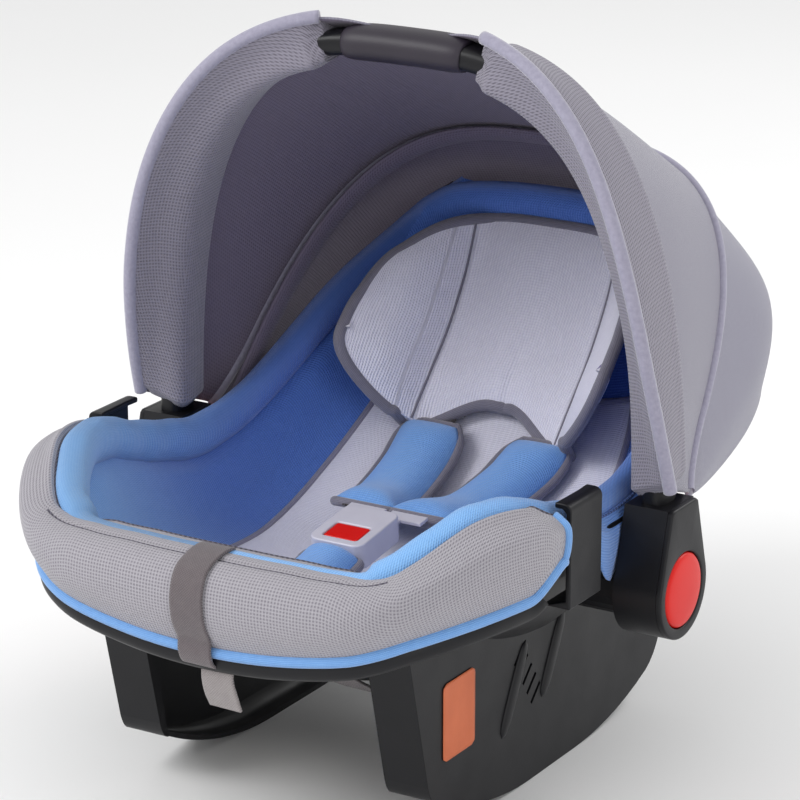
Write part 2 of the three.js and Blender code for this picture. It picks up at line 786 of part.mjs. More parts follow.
function canopySleeve() {
  const start = Math.atan2(hubTop + 8, handleHalfWidth);
  const arch = new Arch(handleHalfWidth, handleRise, start, archAngleAt(sleeveEnd));
  const shape = oval(barDepth + sleeveReach * 2, barHeight + sleeveWall * 2 + sleeveSlack);
  shape.holes.push(oval(barDepth + sleeveSlack, barHeight + sleeveSlack));
  return alongArch(shape, arch, 12);
}

// Teardrop outline of the hub: a round end on the axis and a narrower top.
function hubOutline(inset = 0) {
  const shape = new THREE.Shape();
  const radius = hubRadius - inset;
  const top = hubTop - inset;
  const halfTop = hubTopHalfWidth - inset;
  shape.moveTo(halfTop, top);
  shape.lineTo(-halfTop, top);
  shape.absarc(0, 0, radius, Math.PI - 0.35, 2 * Math.PI + 0.35);
  shape.lineTo(halfTop, top);
  return shape;
}

function roundHole(radius) {
  return new THREE.Path().absarc(0, 0, radius, 0, 2 * Math.PI, true);
}

const gearInner = hubInner + 17;
const gearThickness = 6;
const gearTeeth = 12;

function hubHousing() {
  const block = sidePlate(hubOutline(), hubInner, hubOuter, 20);
  const shaftBore = roundAlongX(pivotRadius + fitGap, hubInner - 1, hubInner + 14);
  const cavity = roundAlongX(buttonRadius + 2, hubInner + 12.6, hubOuter + 1);
  return cut(block, shaftBore, cavity, rearReleaseWell());
}

function hubCover() {
  const shape = hubOutline();
  shape.holes.push(roundHole(buttonRadius + runningGap));
  return sidePlate(shape, hubOuter + fitGap, coverOuter, 20);
}

function lockGear() {
  const shape = new THREE.Shape();
  for (let k = 0; k < gearTeeth * 4; k += 1) {
    const angle = k * 2 * Math.PI / (gearTeeth * 4);
    const radius = k % 4 < 2 ? buttonRadius : buttonRadius - 4;
    shape[k === 0 ? 'moveTo' : 'lineTo'](radius * Math.cos(angle), radius * Math.sin(angle));
  }
  return sidePlate(shape, gearInner, gearInner + gearThickness);
}

function hubButton() {
  const base = gearInner + gearThickness + fitGap;
  const rim = coverOuter - 1;
  const profile = [
    new THREE.Vector2(0, base), new THREE.Vector2(buttonRadius, base), new THREE.Vector2(buttonRadius, rim),
    new THREE.Vector2(buttonRadius - 2, coverOuter + 0.6),
    new THREE.Vector2(buttonRadius * 0.6, coverOuter + 1.4),
    new THREE.Vector2(0, coverOuter + 1.8),
  ];
  return closed(new THREE.LatheGeometry(profile, 32).rotateZ(-Math.PI / 2));
}

class Helix extends THREE.Curve {
  constructor(radius, low, high, turns) {
    super();
    Object.assign(this, { radius, low, high, turns });
  }

  getPoint(t, target = new THREE.Vector3()) {
    const angle = t * this.turns * 2 * Math.PI;
    return target.set(
      lerp(this.low, this.high, t), this.radius * Math.cos(angle), this.radius * Math.sin(angle));
  }
}

function hubSpring() {
  const path = new Helix(pivotBore - 2.2, hubInner - 6.4, gearInner - 1.2, 4);
  return closed(new THREE.ExtrudeGeometry(oval(1.6, 1.6, 5), { steps: 32, extrudePath: path }));
}

// Small button on the rear edge of each hub, in a well of its own.
const releaseZ = 47;
const releaseX = hubInner + hubDepth / 2;
const releaseY = hubTopHalfWidth + 1.5;

function releaseBlock(width, length, depth, radius) {
  const block = roundedBox(width, length, depth, radius);
  block.rotateX(-Math.PI / 2);
  return block.translate(releaseX, releaseY, releaseZ);
}

function rearReleaseWell() {
  return releaseBlock(14.8, 24.8, 20, 4.4).translate(0, -10, 0);
}

function rearRelease() {
  return releaseBlock(14, 24, 10, 4).translate(0, -4, 0);
}

add(handle, 'handle_bow', handleBow(), blackPlastic());
add(handle, 'handle_grip', handleGrip(), finish(0x2d2733, 0.5));
addPair(handle, 'canopy_sleeve', canopySleeve(), greyMesh);
addPair(handle, 'hub_housing', hubHousing(), blackPlastic);
addPair(handle, 'hub_cover', hubCover(), blackPlastic);
addPair(handle, 'lock_gear', lockGear(), steel);
addPair(handle, 'hub_button', hubButton(), redPlastic);
addPair(handle, 'hub_spring', hubSpring(), steel);
addPair(handle, 'rear_release', rearRelease(), redPlastic);

// ---- Canopy ----
function canopyBow() {
  const arch = new Arch(bowHalfWidth, bowRise, 0.06, Math.PI - 0.06, bowSquareness);
  const strip = alongArch(oval(12, bowStripThickness * 1.08, 4), arch, 32);
  const ring = roundAlongX(21, bowStripInner, bowStripInner + bowStripThickness, pivotRadius + fitGap);
  const legs = [ring, mirrored(ring)];
  const bore = roundAlongX(pivotRadius + fitGap, -hubOuter, hubOuter);
  return cut(join(strip, ...legs), bore).rotateX(radians(-bowLean));
}

const fabricFoot = 0.36; // the direction, in radians, at which the fabric is gathered

// Points on an arch leaned back about the hub axis, for the fabric's edges.
function leaned(halfWidth, rise, degrees, squareness, forward = 0) {
  const arch = new Arch(halfWidth, rise, fabricFoot, Math.PI - fabricFoot, squareness);
  const angle = radians(degrees);
  return (u) => {
    const point = arch.getPoint((1 - u) / 2);
    return new THREE.Vector3(
      point.x, point.z * Math.sin(angle) + forward, hubHeight + point.z * Math.cos(angle));
  };
}

const fabric = 2.5;
const overSleeve = barHeight / 2 + sleeveWall + 2;
const sleeveBack = barDepth / 2 + sleeveReach + 1;
const atHandle = leaned(
  handleHalfWidth + overSleeve - 6, handleRise + overSleeve - 4, 0, handleSquareness, sleeveBack);
const atBow = leaned(bowHalfWidth + 10, bowRise + 7, bowLean, bowSquareness);
const atRidge = leaned(bowHalfWidth + 7, headRadius + 6, bowLean + 20, rearSquareness);
const atEdge = leaned(bowHalfWidth + 4, headRadius - 26, bowLean + 31, rearSquareness);

function sheetOf(edges, inward) {
  return (u, v) => {
    const line = new THREE.CatmullRomCurve3(edges.map((edge) => edge(u)));
    const point = line.getPoint(THREE.MathUtils.clamp(v, 0, 1));
    const centre = new THREE.Vector3(0, 0, hubHeight);
    return point.add(centre.sub(point).setLength(inward));
  };
}

function canopyPanel(edges, along) {
  return between(sheetOf(edges, fabric), sheetOf(edges, 0), 20, along);
}

function between01(first, second, share) {
  return (u) => first(u).lerp(second(u), share);
}

add(handle, 'canopy_bow', canopyBow(), finish(0x2b2b30, 0.5));
add(seat, 'canopy_front', canopyPanel([atHandle, between01(atHandle, atBow, 0.5), atBow], 4), greyMesh());
add(seat, 'canopy_rear', canopyPanel([between01(atBow, atRidge, 0.06), atRidge, atEdge], 6), greyMesh());

// ---- Stand the seat on z = 0 with the box centred ----
const box = new THREE.Box3().setFromObject(seat);
const middle = box.getCenter(new THREE.Vector3());
seat.position.set(-middle.x, -middle.y, -box.min.z);

const part = new THREE.Group();
part.add(seat);
part.updateMatrixWorld(true);

export default part;
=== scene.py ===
from math import asin, atan2, cos, exp, hypot, pi, radians, sin

import bmesh
import bpy
import numpy as np
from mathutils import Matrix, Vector


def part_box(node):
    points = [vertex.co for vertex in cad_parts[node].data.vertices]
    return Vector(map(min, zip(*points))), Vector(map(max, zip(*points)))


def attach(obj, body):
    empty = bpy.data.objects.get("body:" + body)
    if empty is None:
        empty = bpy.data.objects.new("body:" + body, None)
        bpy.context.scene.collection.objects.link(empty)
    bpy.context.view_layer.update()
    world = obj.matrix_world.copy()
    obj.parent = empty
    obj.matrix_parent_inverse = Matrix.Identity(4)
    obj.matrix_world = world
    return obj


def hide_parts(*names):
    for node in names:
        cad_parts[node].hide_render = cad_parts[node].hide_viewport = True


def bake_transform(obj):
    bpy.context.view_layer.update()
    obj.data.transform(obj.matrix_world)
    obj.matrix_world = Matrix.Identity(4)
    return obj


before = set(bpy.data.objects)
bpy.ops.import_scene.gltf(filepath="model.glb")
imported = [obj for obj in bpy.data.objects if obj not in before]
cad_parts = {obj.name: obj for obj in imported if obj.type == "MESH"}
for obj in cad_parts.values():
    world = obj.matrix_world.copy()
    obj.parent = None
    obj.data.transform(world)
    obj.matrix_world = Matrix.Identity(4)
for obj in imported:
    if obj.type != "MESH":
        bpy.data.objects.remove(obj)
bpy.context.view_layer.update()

# ---- Where the seat stands, the camera, the light and the floor ----
# Every piece below is drawn in millimetres about a point on the floor between the two hubs,
# +X to the baby's left, -Y to the feet, and set in metres in the frame when its mesh is made.
button_low, button_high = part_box("hub_button_right")
hub_centre = (button_low + button_high) / 2
hub_y = hub_centre.y * 1000
hub_height = hub_centre.z * 1000

camera_data = bpy.data.cameras.new("camera")
camera_data.lens = 166.5
camera_data.sensor_width = 36
camera = bpy.data.objects.new("camera", camera_data)
bpy.context.collection.objects.link(camera)
camera_aim = Vector((0, hub_centre.y - 0.013, hub_centre.z + 0.104))
camera_turn, camera_rise, camera_distance = radians(31), radians(18), 2.6
towards_camera = Vector((
    sin(camera_turn) * cos(camera_rise), -cos(camera_turn) * cos(camera_rise), sin(camera_rise)))
camera.location = camera_aim + towards_camera * camera_distance
camera.rotation_euler = (-towards_camera).to_track_quat("-Z", "Y").to_euler()
bpy.context.scene.camera = camera


def soft_light(name, place, size, power):
    """A square panel of soft light, aimed at the middle of the seat."""
    panel = bpy.data.lights.new(name, "AREA")
    panel.shape = "SQUARE"
    panel.size = size
    panel.energy = power
    lamp = bpy.data.objects.new(name, panel)
    bpy.context.collection.objects.link(lamp)
    lamp.location = place
    lamp.rotation_euler = (camera_aim - Vector(place)).to_track_quat("-Z", "Y").to_euler()


soft_light("key_light", (-1.3, -1.5, 1.9), 1.3, 34)
soft_light("fill_light", (2.2, -1.4, 0.9), 1.6, 8)
soft_light("back_light", (0.9, 1.9, 1.8), 1.2, 20)

world = bpy.data.worlds.new("studio")
world.use_nodes = True
world.node_tree.nodes["Background"].inputs["Color"].default_value = (1, 1, 1, 1)
world.node_tree.nodes["Background"].inputs["Strength"].default_value = 0.8
bpy.context.scene.world = world
bpy.context.scene.view_settings.view_transform = "Standard"


def linear(hex_colour):
    """A colour as it is seen, turned into the shader's linear red, green, blue and 1."""
    parts = [int(hex_colour[k:k + 2], 16) / 255 for k in (0, 2, 4)]
    return (*[p / 12.92 if p < 0.04045 else ((p + 0.055) / 1.055) ** 2.4 for p in parts], 1)


class Finish:
    """A material being put together from a few patterns."""

    def __init__(self, name, colour, roughness, **sockets):
        self.material = bpy.data.materials.new(name)
        self.material.use_nodes = True
        self.tree = self.material.node_tree
        self.shader = self.tree.nodes["Principled BSDF"]
        self.shader.inputs["Base Color"].default_value = linear(colour)
        self.shader.inputs["Roughness"].default_value = roughness
        for socket, value in sockets.items():
            title = socket.replace("_", " ").title().replace("Ior", "IOR")
            self.shader.inputs[title].default_value = value

    def node(self, kind, inputs, **settings):
        made = self.tree.nodes.new(kind)
        for setting, value in settings.items():
            setattr(made, setting, value)
        for place, value in inputs.items():
            if isinstance(value, bpy.types.NodeSocket):
                self.tree.links.new(value, made.inputs[place])
            else:
                made.inputs[place].default_value = value
        return made

    def maths(self, operation, *values):
        return self.node("ShaderNodeMath", dict(enumerate(values)), operation=operation).outputs[0]

    def place(self):
        """Object coordinates, in metres."""
        return self.node("ShaderNodeTexCoord", {}).outputs["Object"]

    def cloth(self):
        """The distances across and along the cloth, in metres."""
        cloth = self.node("ShaderNodeUVMap", {}, uv_map="cloth").outputs["UV"]
        split = self.node("ShaderNodeSeparateXYZ", {0: cloth})
        return split.outputs[0], split.outputs[1]

    def noise(self, size, detail=3.0):
        """Soft random patches of that size in metres, 0 to 1."""
        inputs = {"Vector": self.place(), "Scale": 1 / size, "Detail": detail}
        return self.node("ShaderNodeTexNoise", inputs).outputs["Fac"]

    def wave(self, distance, pitch):
        """A sine along a distance, from -1 to 1."""
        return self.maths("SINE", self.maths("MULTIPLY", distance, 2 * pi / pitch))

    def ridges(self, distance, pitch):
        """The same wave, from 0 to 1."""
        return self.maths("MULTIPLY_ADD", self.wave(distance, pitch), 0.5, 0.5)

    def net(self, across, along, pitch):
        """A square net of small pits, from 0 on the ridges to 1 in the pits."""
        return self.maths("MULTIPLY", self.ridges(across, pitch), self.ridges(along, pitch))

    def fade(self, value, start, end):
        """0 before start, 1 after end."""
        inputs = {"Value": value, "From Min": start, "From Max": end}
        return self.node("ShaderNodeMapRange", inputs, interpolation_type="SMOOTHSTEP").outputs[0]

    def mixed(self, share, first, second):
        """A colour between two, each a hex colour or a socket."""
        pair = [linear(c) if isinstance(c, str) else c for c in (first, second)]
        inputs = {"Factor": share, 6: pair[0], 7: pair[1]}
        return self.node("ShaderNodeMix", inputs, data_type="RGBA").outputs[2]

    def colour(self, socket):
        self.tree.links.new(socket, self.shader.inputs["Base Color"])

    def mottled(self, size, first, second):
        """Soft patches of two colours, of that size in metres."""
        self.colour(self.mixed(self.noise(size), first, second))

    def rough(self, socket):
        self.tree.links.new(socket, self.shader.inputs["Roughness"])

    def relief(self, height, depth):
        """Raises the surface by height times depth, in metres."""
        bump = self.node("ShaderNodeBump", {"Height": height, "Distance": depth, "Strength": 1.0})
        self.tree.links.new(bump.outputs[0], self.shader.inputs["Normal"])


floor_mesh = bpy.data.meshes.new("floor")
floor_shape = bmesh.new()
bmesh.ops.create_grid(floor_shape, x_segments=1, y_segments=1, size=6)
floor_shape.to_mesh(floor_mesh)
floor = bpy.data.objects.new("floor", floor_mesh)
bpy.context.collection.objects.link(floor)
floor_finish = Finish("studio_floor", "f1f1f1", 0.7)
floor_finish.mottled(0.8, "efefef", "f4f4f4")
floor.data.materials.append(floor_finish.material)

# ---- Tub ----
# One injection-moulded shell in black polypropylene, 4 mm thick, with a rolled lip all round.
# Everything else on the seat is clipped, riveted or hooked to it.


def smooth_line(points, even=False):
    """A curve through the points, as a function of the share of the way along, 0 to 1."""
    rows = [Vector(p) for p in points]
    rows = [rows[0] * 2 - rows[1], *rows, rows[-1] * 2 - rows[-2]]
    spans = len(rows) - 3

    def at(share):
        place = min(max(share, 0), 1) * spans
        k = min(int(place), spans - 1)
        t = place - k
        a, b, c, d = rows[k:k + 4]
        return (b * 2 + (c - a) * t + (a * 2 - b * 5 + c * 4 - d) * t ** 2
                + (b * 3 - a - c * 3 + d) * t ** 3) / 2

    if not even:
        return at
    shares = np.linspace(0, 1, spans * 24 + 1)
    spots = [at(s) for s in shares]
    lengths = np.cumsum([0] + [(q - p).length for p, q in zip(spots, spots[1:])])
    return lambda share: at(float(np.interp(share * lengths[-1], lengths, shares)))


def lerp(first, second, share):
    return first + (second - first) * share


def power(value, exponent):
    """A power that keeps the value's sign."""
    return (1 if value >= 0 else -1) * abs(value) ** exponent


def step(value, start, end):
    """0 before start, 1 after end, and smooth between."""
    share = min(max((value - start) / (end - start), 0), 1)
    return share * share * (3 - 2 * share)


def raised(surface, height, reach=0.002):
    """The surface moved off itself along its normal, by a number or a function of u and v."""
    def at(u, v):
        here = surface(u, v)
        across = surface(min(u + reach, 1), v) - surface(max(u - reach, -1), v)
        along = surface(u, min(v + reach, 1)) - surface(u, max(v - reach, 0))
        rise = height(u, v) if callable(height) else height
        return here + across.cross(along).normalized() * rise
    return at


def finished(name, shape, finishes, body):
    """Makes the object from a bmesh, gives it its materials and sets it on its body."""
    mesh = bpy.data.meshes.new(name)
    for face in shape.faces:
        face.smooth = True
    shape.to_mesh(mesh)
    shape.free()
    piece = bpy.data.objects.new(name, mesh)
    bpy.context.collection.objects.link(piece)
    for finish in finishes:
        mesh.materials.append(finish.material)
    if body:
        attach(piece, body)
    return piece


def formed(name, surface, columns, rows, finishes, body, away_from=(0, 0, -2000), thickness=0.0,
           span=(-1, 1), wraps=False):
    """A sheet laid on a surface over u = span and v = 0 to 1, its front turned away from a point.
    Its UV map, cloth, holds the distances across and along the sheet in metres. thickness is
    added behind, in millimetres, and a second finish, if there is one, is for the back."""
    shape = bmesh.new()
    bmesh.ops.create_grid(shape, x_segments=columns, y_segments=rows, size=0.5)
    index = {}
    spots = np.zeros((columns + 1, rows + 1, 3))
    for vert in shape.verts:
        i, j = round((vert.co.x + 0.5) * columns), round((vert.co.y + 0.5) * rows)
        index[vert] = (i, j)
        spots[i, j] = surface(lerp(span[0], span[1], i / columns), j / rows)
    across = np.zeros((columns + 1, rows + 1))
    across[1:] = np.cumsum(np.linalg.norm(np.diff(spots, axis=0), axis=2), axis=0)
    across -= across[columns // 2]
    along = np.zeros((columns + 1, rows + 1))
    along[:, 1:] = np.cumsum(np.linalg.norm(np.diff(spots, axis=1), axis=2), axis=1)
    cloth = shape.loops.layers.uv.new("cloth")
    for face in shape.faces:
        for loop in face.loops:
            spot = index[loop.vert]
            loop[cloth].uv = (across[spot] / 1000, along[spot] / 1000)
    for vert, spot in index.items():
        x, y, z = spots[spot]
        vert.co = Vector((x, y + hub_y, z)) / 1000
    if wraps:
        bmesh.ops.remove_doubles(shape, verts=shape.verts[:], dist=1e-6)
        bmesh.ops.holes_fill(shape, edges=[e for e in shape.edges if e.is_boundary])
        bmesh.ops.recalc_face_normals(shape, faces=shape.faces[:])
    else:
        shape.normal_update()
        x, y, z = away_from
        source = Vector((x, y + hub_y, z)) / 1000
        facing = sum(
            f.normal.dot((f.calc_center_median() - source).normalized()) * f.calc_area()
            for f in shape.faces)
        if facing < 0:
            bmesh.ops.reverse_faces(shape, faces=shape.faces[:])
    piece = finished(name, shape, finishes, body)
    if thickness:
        back = piece.modifiers.new("thickness", "SOLIDIFY")
        back.thickness = thickness / 1000
        back.offset = -1
        back.material_offset = len(finishes) - 1
    return piece


def tube(name, line, width, height, rows, finish, body, centre=None, around=20, squareness=2.0,
         joined=False):
    """A bar or piping along a line. width is across the line and height away from the centre
    point; both are numbers or functions of the share of the way along."""
    middle = Vector(centre or (0, 0, hub_height))

    def surface(u, v):
        spot = line(v)
        if joined:
            run = line((v + 0.002) % 1) - line((v - 0.002) % 1)
        else:
            run = line(min(v + 0.002, 1)) - line(max(v - 0.002, 0))
        side = run.cross(spot - middle).normalized()
        out = side.cross(run).normalized()
        half_width = (width(v) if callable(width) else width) / 2
        half_height = (height(v) if callable(height) else height) / 2
        turn = u * pi
        return (spot + side * half_width * power(cos(turn), 2 / squareness)
                + out * half_height * power(sin(turn), 2 / squareness))
    return formed(name, surface, around, rows, [finish], body, wraps=True)


def moulded(name, node, finish, body, radius, picked=None, sharp=30):
    """A copy of a CAD solid with its facets joined and its edges rounded by the radius, in
    millimetres. picked says which edges, and is every sharp edge if it isn't given."""
    shape = bmesh.new()
    shape.from_mesh(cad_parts[node].data)
    bmesh.ops.remove_doubles(shape, verts=shape.verts[:], dist=2e-5)
    bmesh.ops.dissolve_limit(
        shape, angle_limit=radians(2), verts=shape.verts[:], edges=shape.edges[:])
    shape.normal_update()
    edges = [
        e for e in shape.edges
        if len(e.link_faces) == 2 and e.calc_face_angle(0) > radians(sharp)
        and (picked is None or picked(e))]
    bmesh.ops.bevel(
        shape, geom=edges, offset=radius / 1000, offset_type="OFFSET", segments=3, profile=0.5,
        affect="EDGES", material=-1, clamp_overlap=True)
    piece = finished(name, shape, [finish], body)
    piece.data.materials.clear()
    piece.data.materials.append(finish.material)
    piece.data.set_sharp_from_angle(angle=radians(35))
    weighted = piece.modifiers.new("even_shading", "WEIGHTED_NORMAL")
    weighted.keep_sharp = True
    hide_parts(node)
    return piece


# From the front lip to the head lip: the rim on the baby's left, then the centre lines of the
# cover and of the shell.
rim = smooth_line([
    (106, -246, 201), (134, -230, 221), (158, -190, 243), (170, -140, 239), (173, -88, 218),
    (170, -35, 202), (168, 30, 209), (163, 95, 237), (151, 155, 275), (132, 197, 307),
    (110, 217, 331), (88, 226, 347)])
cover_floor = smooth_line([
    (0, -248, 199), (0, -205, 171), (0, -150, 140), (0, -95, 124), (0, -50, 119), (0, -8, 121),
    (0, 45, 132), (0, 100, 157), (0, 150, 197), (0, 188, 253), (0, 212, 311), (0, 222, 345)])
shell_floor = smooth_line([
    (0, -255, 187), (0, -200, 131), (0, -140, 90), (0, -85, 65), (0, -40, 59), (0, 5, 59),
    (0, 55, 66), (0, 105, 91), (0, 150, 135), (0, 195, 211), (0, 228, 285), (0, 238, 337)])


def tub(floor_line, squareness, lip_out, lip_drop):
    """A hollow between the rim and a floor line, over u = -1 to 1 across and v = 0 to 1 along."""
    def at(u, v):
        turn = u * pi / 2
        side = power(sin(turn), 2 / squareness)
        rise = 1 - abs(cos(turn)) ** (2 / squareness)
        edge, low = rim(v), floor_line(v)
        return Vector((
            (edge.x + lip_out) * side, lerp(low.y, edge.y, rise), lerp(low.z, edge.z - lip_drop, rise)))
    return at


shell_outside = tub(shell_floor, 1.7, 9, 6)
cover_top = tub(cover_floor, 2.6, 0, 0)

black_plastic = Finish("black_plastic", "191a20", 0.42, specular_ior_level=0.3)
grain = black_plastic.noise(0.0012, 2.0)
black_plastic.relief(grain, 0.00005)
black_plastic.mottled(0.05, "09090c", "121217")
black_plastic.rough(black_plastic.maths("MULTIPLY_ADD", black_plastic.noise(0.03), 0.22, 0.3))

shell = formed(
    "tub_moulding", shell_outside, 72, 96, [black_plastic], "shell", away_from=(0, 0, 260),
    thickness=4)
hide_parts("seat_shell")


for sign, side in ((1, "right"), (-1, "left")):
    def lip_bead(v, sign=sign):
        """The bead along the rim, just outside it and below."""
        spot = rim(v)
        return Vector((sign * (spot.x + 7.5), spot.y, spot.z - 7))
    bead = tube(f"tub_lip_{side}", lip_bead, 5, 6, 120, black_plastic, "shell", around=14)

# ---- Rockers and belt guides ----
# Two deep black plastic rockers under the tub, each with slanted vents between two raised ribs,
# and a hooked plate on each side of the rim that holds the vehicle's belt.
rocker_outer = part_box("rocker_right")[1].x


def rocker_edge(edge):
    """The outline of the outer side, but not the vents or where the rocker meets the tub."""
    first, second = (f.normal for f in edge.link_faces)
    flank, other = (first, second) if abs(first.x) > abs(second.x) else (second, first)
    middle = (edge.verts[0].co + edge.verts[1].co) / 2
    on_vents = -0.09 < middle.y < -0.015 and 0.045 < middle.z < 0.125
    return (abs(flank.x) > 0.99 and abs(other.x) < 0.1 and other.z < 0.25
            and abs(abs(middle.x) - rocker_outer) < 1e-4 and not on_vents)


rib_lean = radians(28)


def rib_swell(size, least):
    """A rib's width or height along its length, full in the middle and round at the ends."""
    return lambda v: size * (1 - (2 * v - 1) ** 4) ** 0.5 + least


for side in ("right", "left"):
    rocker = moulded(
        f"rocker_{side}_moulding", f"rocker_{side}", black_plastic, "shell", 5, rocker_edge)
    guide = moulded(f"belt_guide_{side}_hook", f"belt_guide_{side}", black_plastic, "shell", 1.2)
    sign = 1 if side == "right" else -1
    for k, (offset, length) in enumerate(((-19, 70), (36, 64))):
        middle = Vector((sign * rocker_outer * 1000, -50 + offset, 80 + offset * 0.15))

        def rib_line(v, middle=middle, length=length):
            travel = (v - 0.5) * length
            return middle + Vector((0, travel * sin(rib_lean), travel * cos(rib_lean)))
        rib = tube(
            f"rocker_rib_{side}_{k}", rib_line, rib_swell(12, 0.5), rib_swell(5, 0.3), 24,
            black_plastic, "shell", centre=(0, middle.y, middle.z))

steel = Finish("zinc_plated_steel", "b9bbbe", 0.32, metallic=0.95)
steel.relief(steel.noise(0.0008, 2.0), 0.00002)
steel.rough(steel.maths("MULTIPLY_ADD", steel.noise(0.004), 0.25, 0.22))
steel.mottled(0.012, "a9abb0", "c6c8ca")
foam = Finish("white_bead_foam", "e4e4e1", 0.85)
beads = foam.node("ShaderNodeTexVoronoi", {"Vector": foam.place(), "Scale": 260.0}).outputs["Distance"]
foam.relief(beads, 0.0003)
foam.colour(foam.mixed(beads, "eeeeea", "d6d6d2"))


def repaint(nodes, finish):
    """Gives CAD nodes that stay a worked-out finish."""
    for node in nodes:
        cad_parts[node].material_slots[0].material = finish.material


repaint(["hub_pivot_right", "hub_pivot_left"], black_plastic)
repaint(["foam_liner"], foam)
repaint([
    "lock_gear_right", "lock_gear_left", "hub_spring_right", "hub_spring_left", "adjuster_body",
    "adjuster_lever", "adjuster_pin"], steel)
moulded("yoke_plate", "harness_yoke", steel, "shell", 0.8)

# ---- Under the tub ----
# A woven carrying strap and a plain pale panel run under the belly; a blank orange label is
# stuck to one rocker.


def along_floor(gap, offset, width):
    """A strip on the underside of the tub."""
    def at(u, v):
        share = lerp(0.02, 0.3, v)
        spot = shell_floor(share)
        run = (shell_floor(share + 0.01) - shell_floor(share - 0.01)).normalized()
        return Vector((offset + u * width / 2, spot.y + run.z * gap, spot.z - run.y * gap))
    return at


def webbing_finish(name, light, dark, pitch):
    """Flat woven tape: twill lines across it and a faint wear along its length."""
    tape = Finish(name, light, 0.75, sheen_weight=0.25, sheen_roughness=0.5)
    across, along = tape.cloth()
    twill = tape.maths("ADD", tape.wave(tape.maths("ADD", across, along), pitch),
                       tape.wave(tape.maths("SUBTRACT", across, along), pitch))
    height = tape.maths("MULTIPLY_ADD", twill, 0.25, 0.5)
    tape.relief(height, 0.00035)
    shade = tape.maths("MULTIPLY_ADD", tape.noise(0.006), 0.5, tape.maths("MULTIPLY", height, 0.5))
    tape.colour(tape.mixed(shade, dark, light))
    return tape


dark_webbing = webbing_finish("dark_webbing", "3d3436", "1f1a1d", 0.0022)
brown_webbing = webbing_finish("grey_brown_webbing", "6f6669", "4d4549", 0.002)
label_film = Finish("pale_label", "dcd9d4", 0.5)
label_film.mottled(0.03, "d5d2cd", "e4e1dc")
label_film.relief(label_film.noise(0.01), 0.0001)
orange_film = Finish("orange_label", "d2693b", 0.55)
orange_film.mottled(0.02, "c25f36", "d9744a")
orange_film.relief(orange_film.noise(0.012), 0.0001)

carry_strap = formed(
    "carry_strap", along_floor(3.6, 45, 38), 12, 40, [brown_webbing], "shell",
    away_from=(0, 0, 400), thickness=1.6)
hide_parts("under_strap")
belly_panel = formed(
    "belly_panel", along_floor(2.2, -30, 50), 10, 40, [label_film], "shell",
    away_from=(0, 0, 400), thickness=0.6)
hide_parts("belly_sticker")


def rounded_card(u, v, low, high, x, corner=4):
    """A flat card in the Y-Z plane with rounded corners."""
    half = Vector(((high[0] - low[0]) / 2, (high[1] - low[1]) / 2))
    across, up = u * half.x, (2 * v - 1) * half.y
    excess = max(0, abs(up) - (half.y - corner))
    across *= 1 - (corner - (corner ** 2 - excess ** 2) ** 0.5) / half.x
    return Vector((x, (low[0] + high[0]) / 2 + across, (low[1] + high[1]) / 2 + up))


rocker_label = formed(
    "rocker_label",
    lambda u, v: rounded_card(u, v, (-166, 58), (-124, 114), rocker_outer * 1000 + 0.9),
    16, 24, [orange_film], "shell", away_from=(0, -145, 86), thickness=0.6)
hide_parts("side_sticker")

# ---- Seat cover ----
# Quilted blue knit over the foam, with painted shade that darkens it from the feet towards the head: an
# inner bowl, a padded roll round the rim, and a flap on each side that hangs outside the rim behind the
# belt guide.


def knit_finish(name, light, dark, pitch, depth, sheen=0.35, rib="along"):
    """Ribbed knit: fine ridges across or along the cloth, each with small stitches in it."""
    knit = Finish(name, light, 0.85, sheen_weight=sheen, sheen_roughness=0.4)
    across, along = knit.cloth()
    if rib == "across":
        across, along = along, across
    sway = knit.maths("MULTIPLY", knit.noise(0.015), pitch * 0.8)
    ridge = knit.ridges(knit.maths("ADD", along, sway), pitch)
    stitch = knit.ridges(across, pitch * 0.9)
    height = knit.maths("MULTIPLY_ADD", stitch, 0.3, knit.maths("MULTIPLY", ridge, 0.7))
    knit.relief(height, depth)
    shade = knit.maths("MULTIPLY_ADD", knit.noise(0.004), 0.35, knit.maths("MULTIPLY", height, 0.65))
    knit.colour(knit.mixed(shade, dark, light))
    return knit


def blue_with_painted_shade(name, front_light, front_dark, back_light, back_dark, start, end):
    """The same ribbed knit, with painted shade: lighter at the feet and darker towards the head."""
    knit = knit_finish(name, front_light, front_dark, 0.0021, 0.0005)
    shade = next(n for n in knit.tree.nodes if n.type == "MIX").inputs["Factor"].links[0].from_socket
    length = knit.node("ShaderNodeSeparateXYZ", {0: knit.place()}).outputs[1]
    # Painted shade: the blue turns darker along Y, from the feet towards the head.
    share = knit.fade(length, start / 1000, end / 1000)
    light = knit.mixed(share, front_light, back_light)
    dark = knit.mixed(share, front_dark, back_dark)
    knit.colour(knit.mixed(shade, dark, light))
    return knit


# Both blues carry painted shade that darkens them towards the head.
deep_blue = blue_with_painted_shade("deep_blue_knit", "8fc0f2", "689fe0", "6088dc", "4068bd", -260, 0)
light_blue = blue_with_painted_shade("light_blue_knit", "93c4f4", "6ca3e3", "6088dc", "4068bd", -235, 90)


def bowl_padding(u, v):
    """The wall's padding swells towards the rim, so that it runs on into the roll."""
    belly = step(abs(u), 0.35, 0.76) * (1 - 0.7 * step(abs(u), 0.8, 0.97))
    swell = 13 * belly * step(v, 0.03, 0.2) * (1 - step(v, 0.9, 0.99))
    return 1 + swell


inner_bowl = formed(
    "cover_bowl", raised(cover_top, bowl_padding), 96, 120, [deep_blue], "shell", thickness=2.5,
    span=(-0.97, 0.97))
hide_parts("seat_cover")

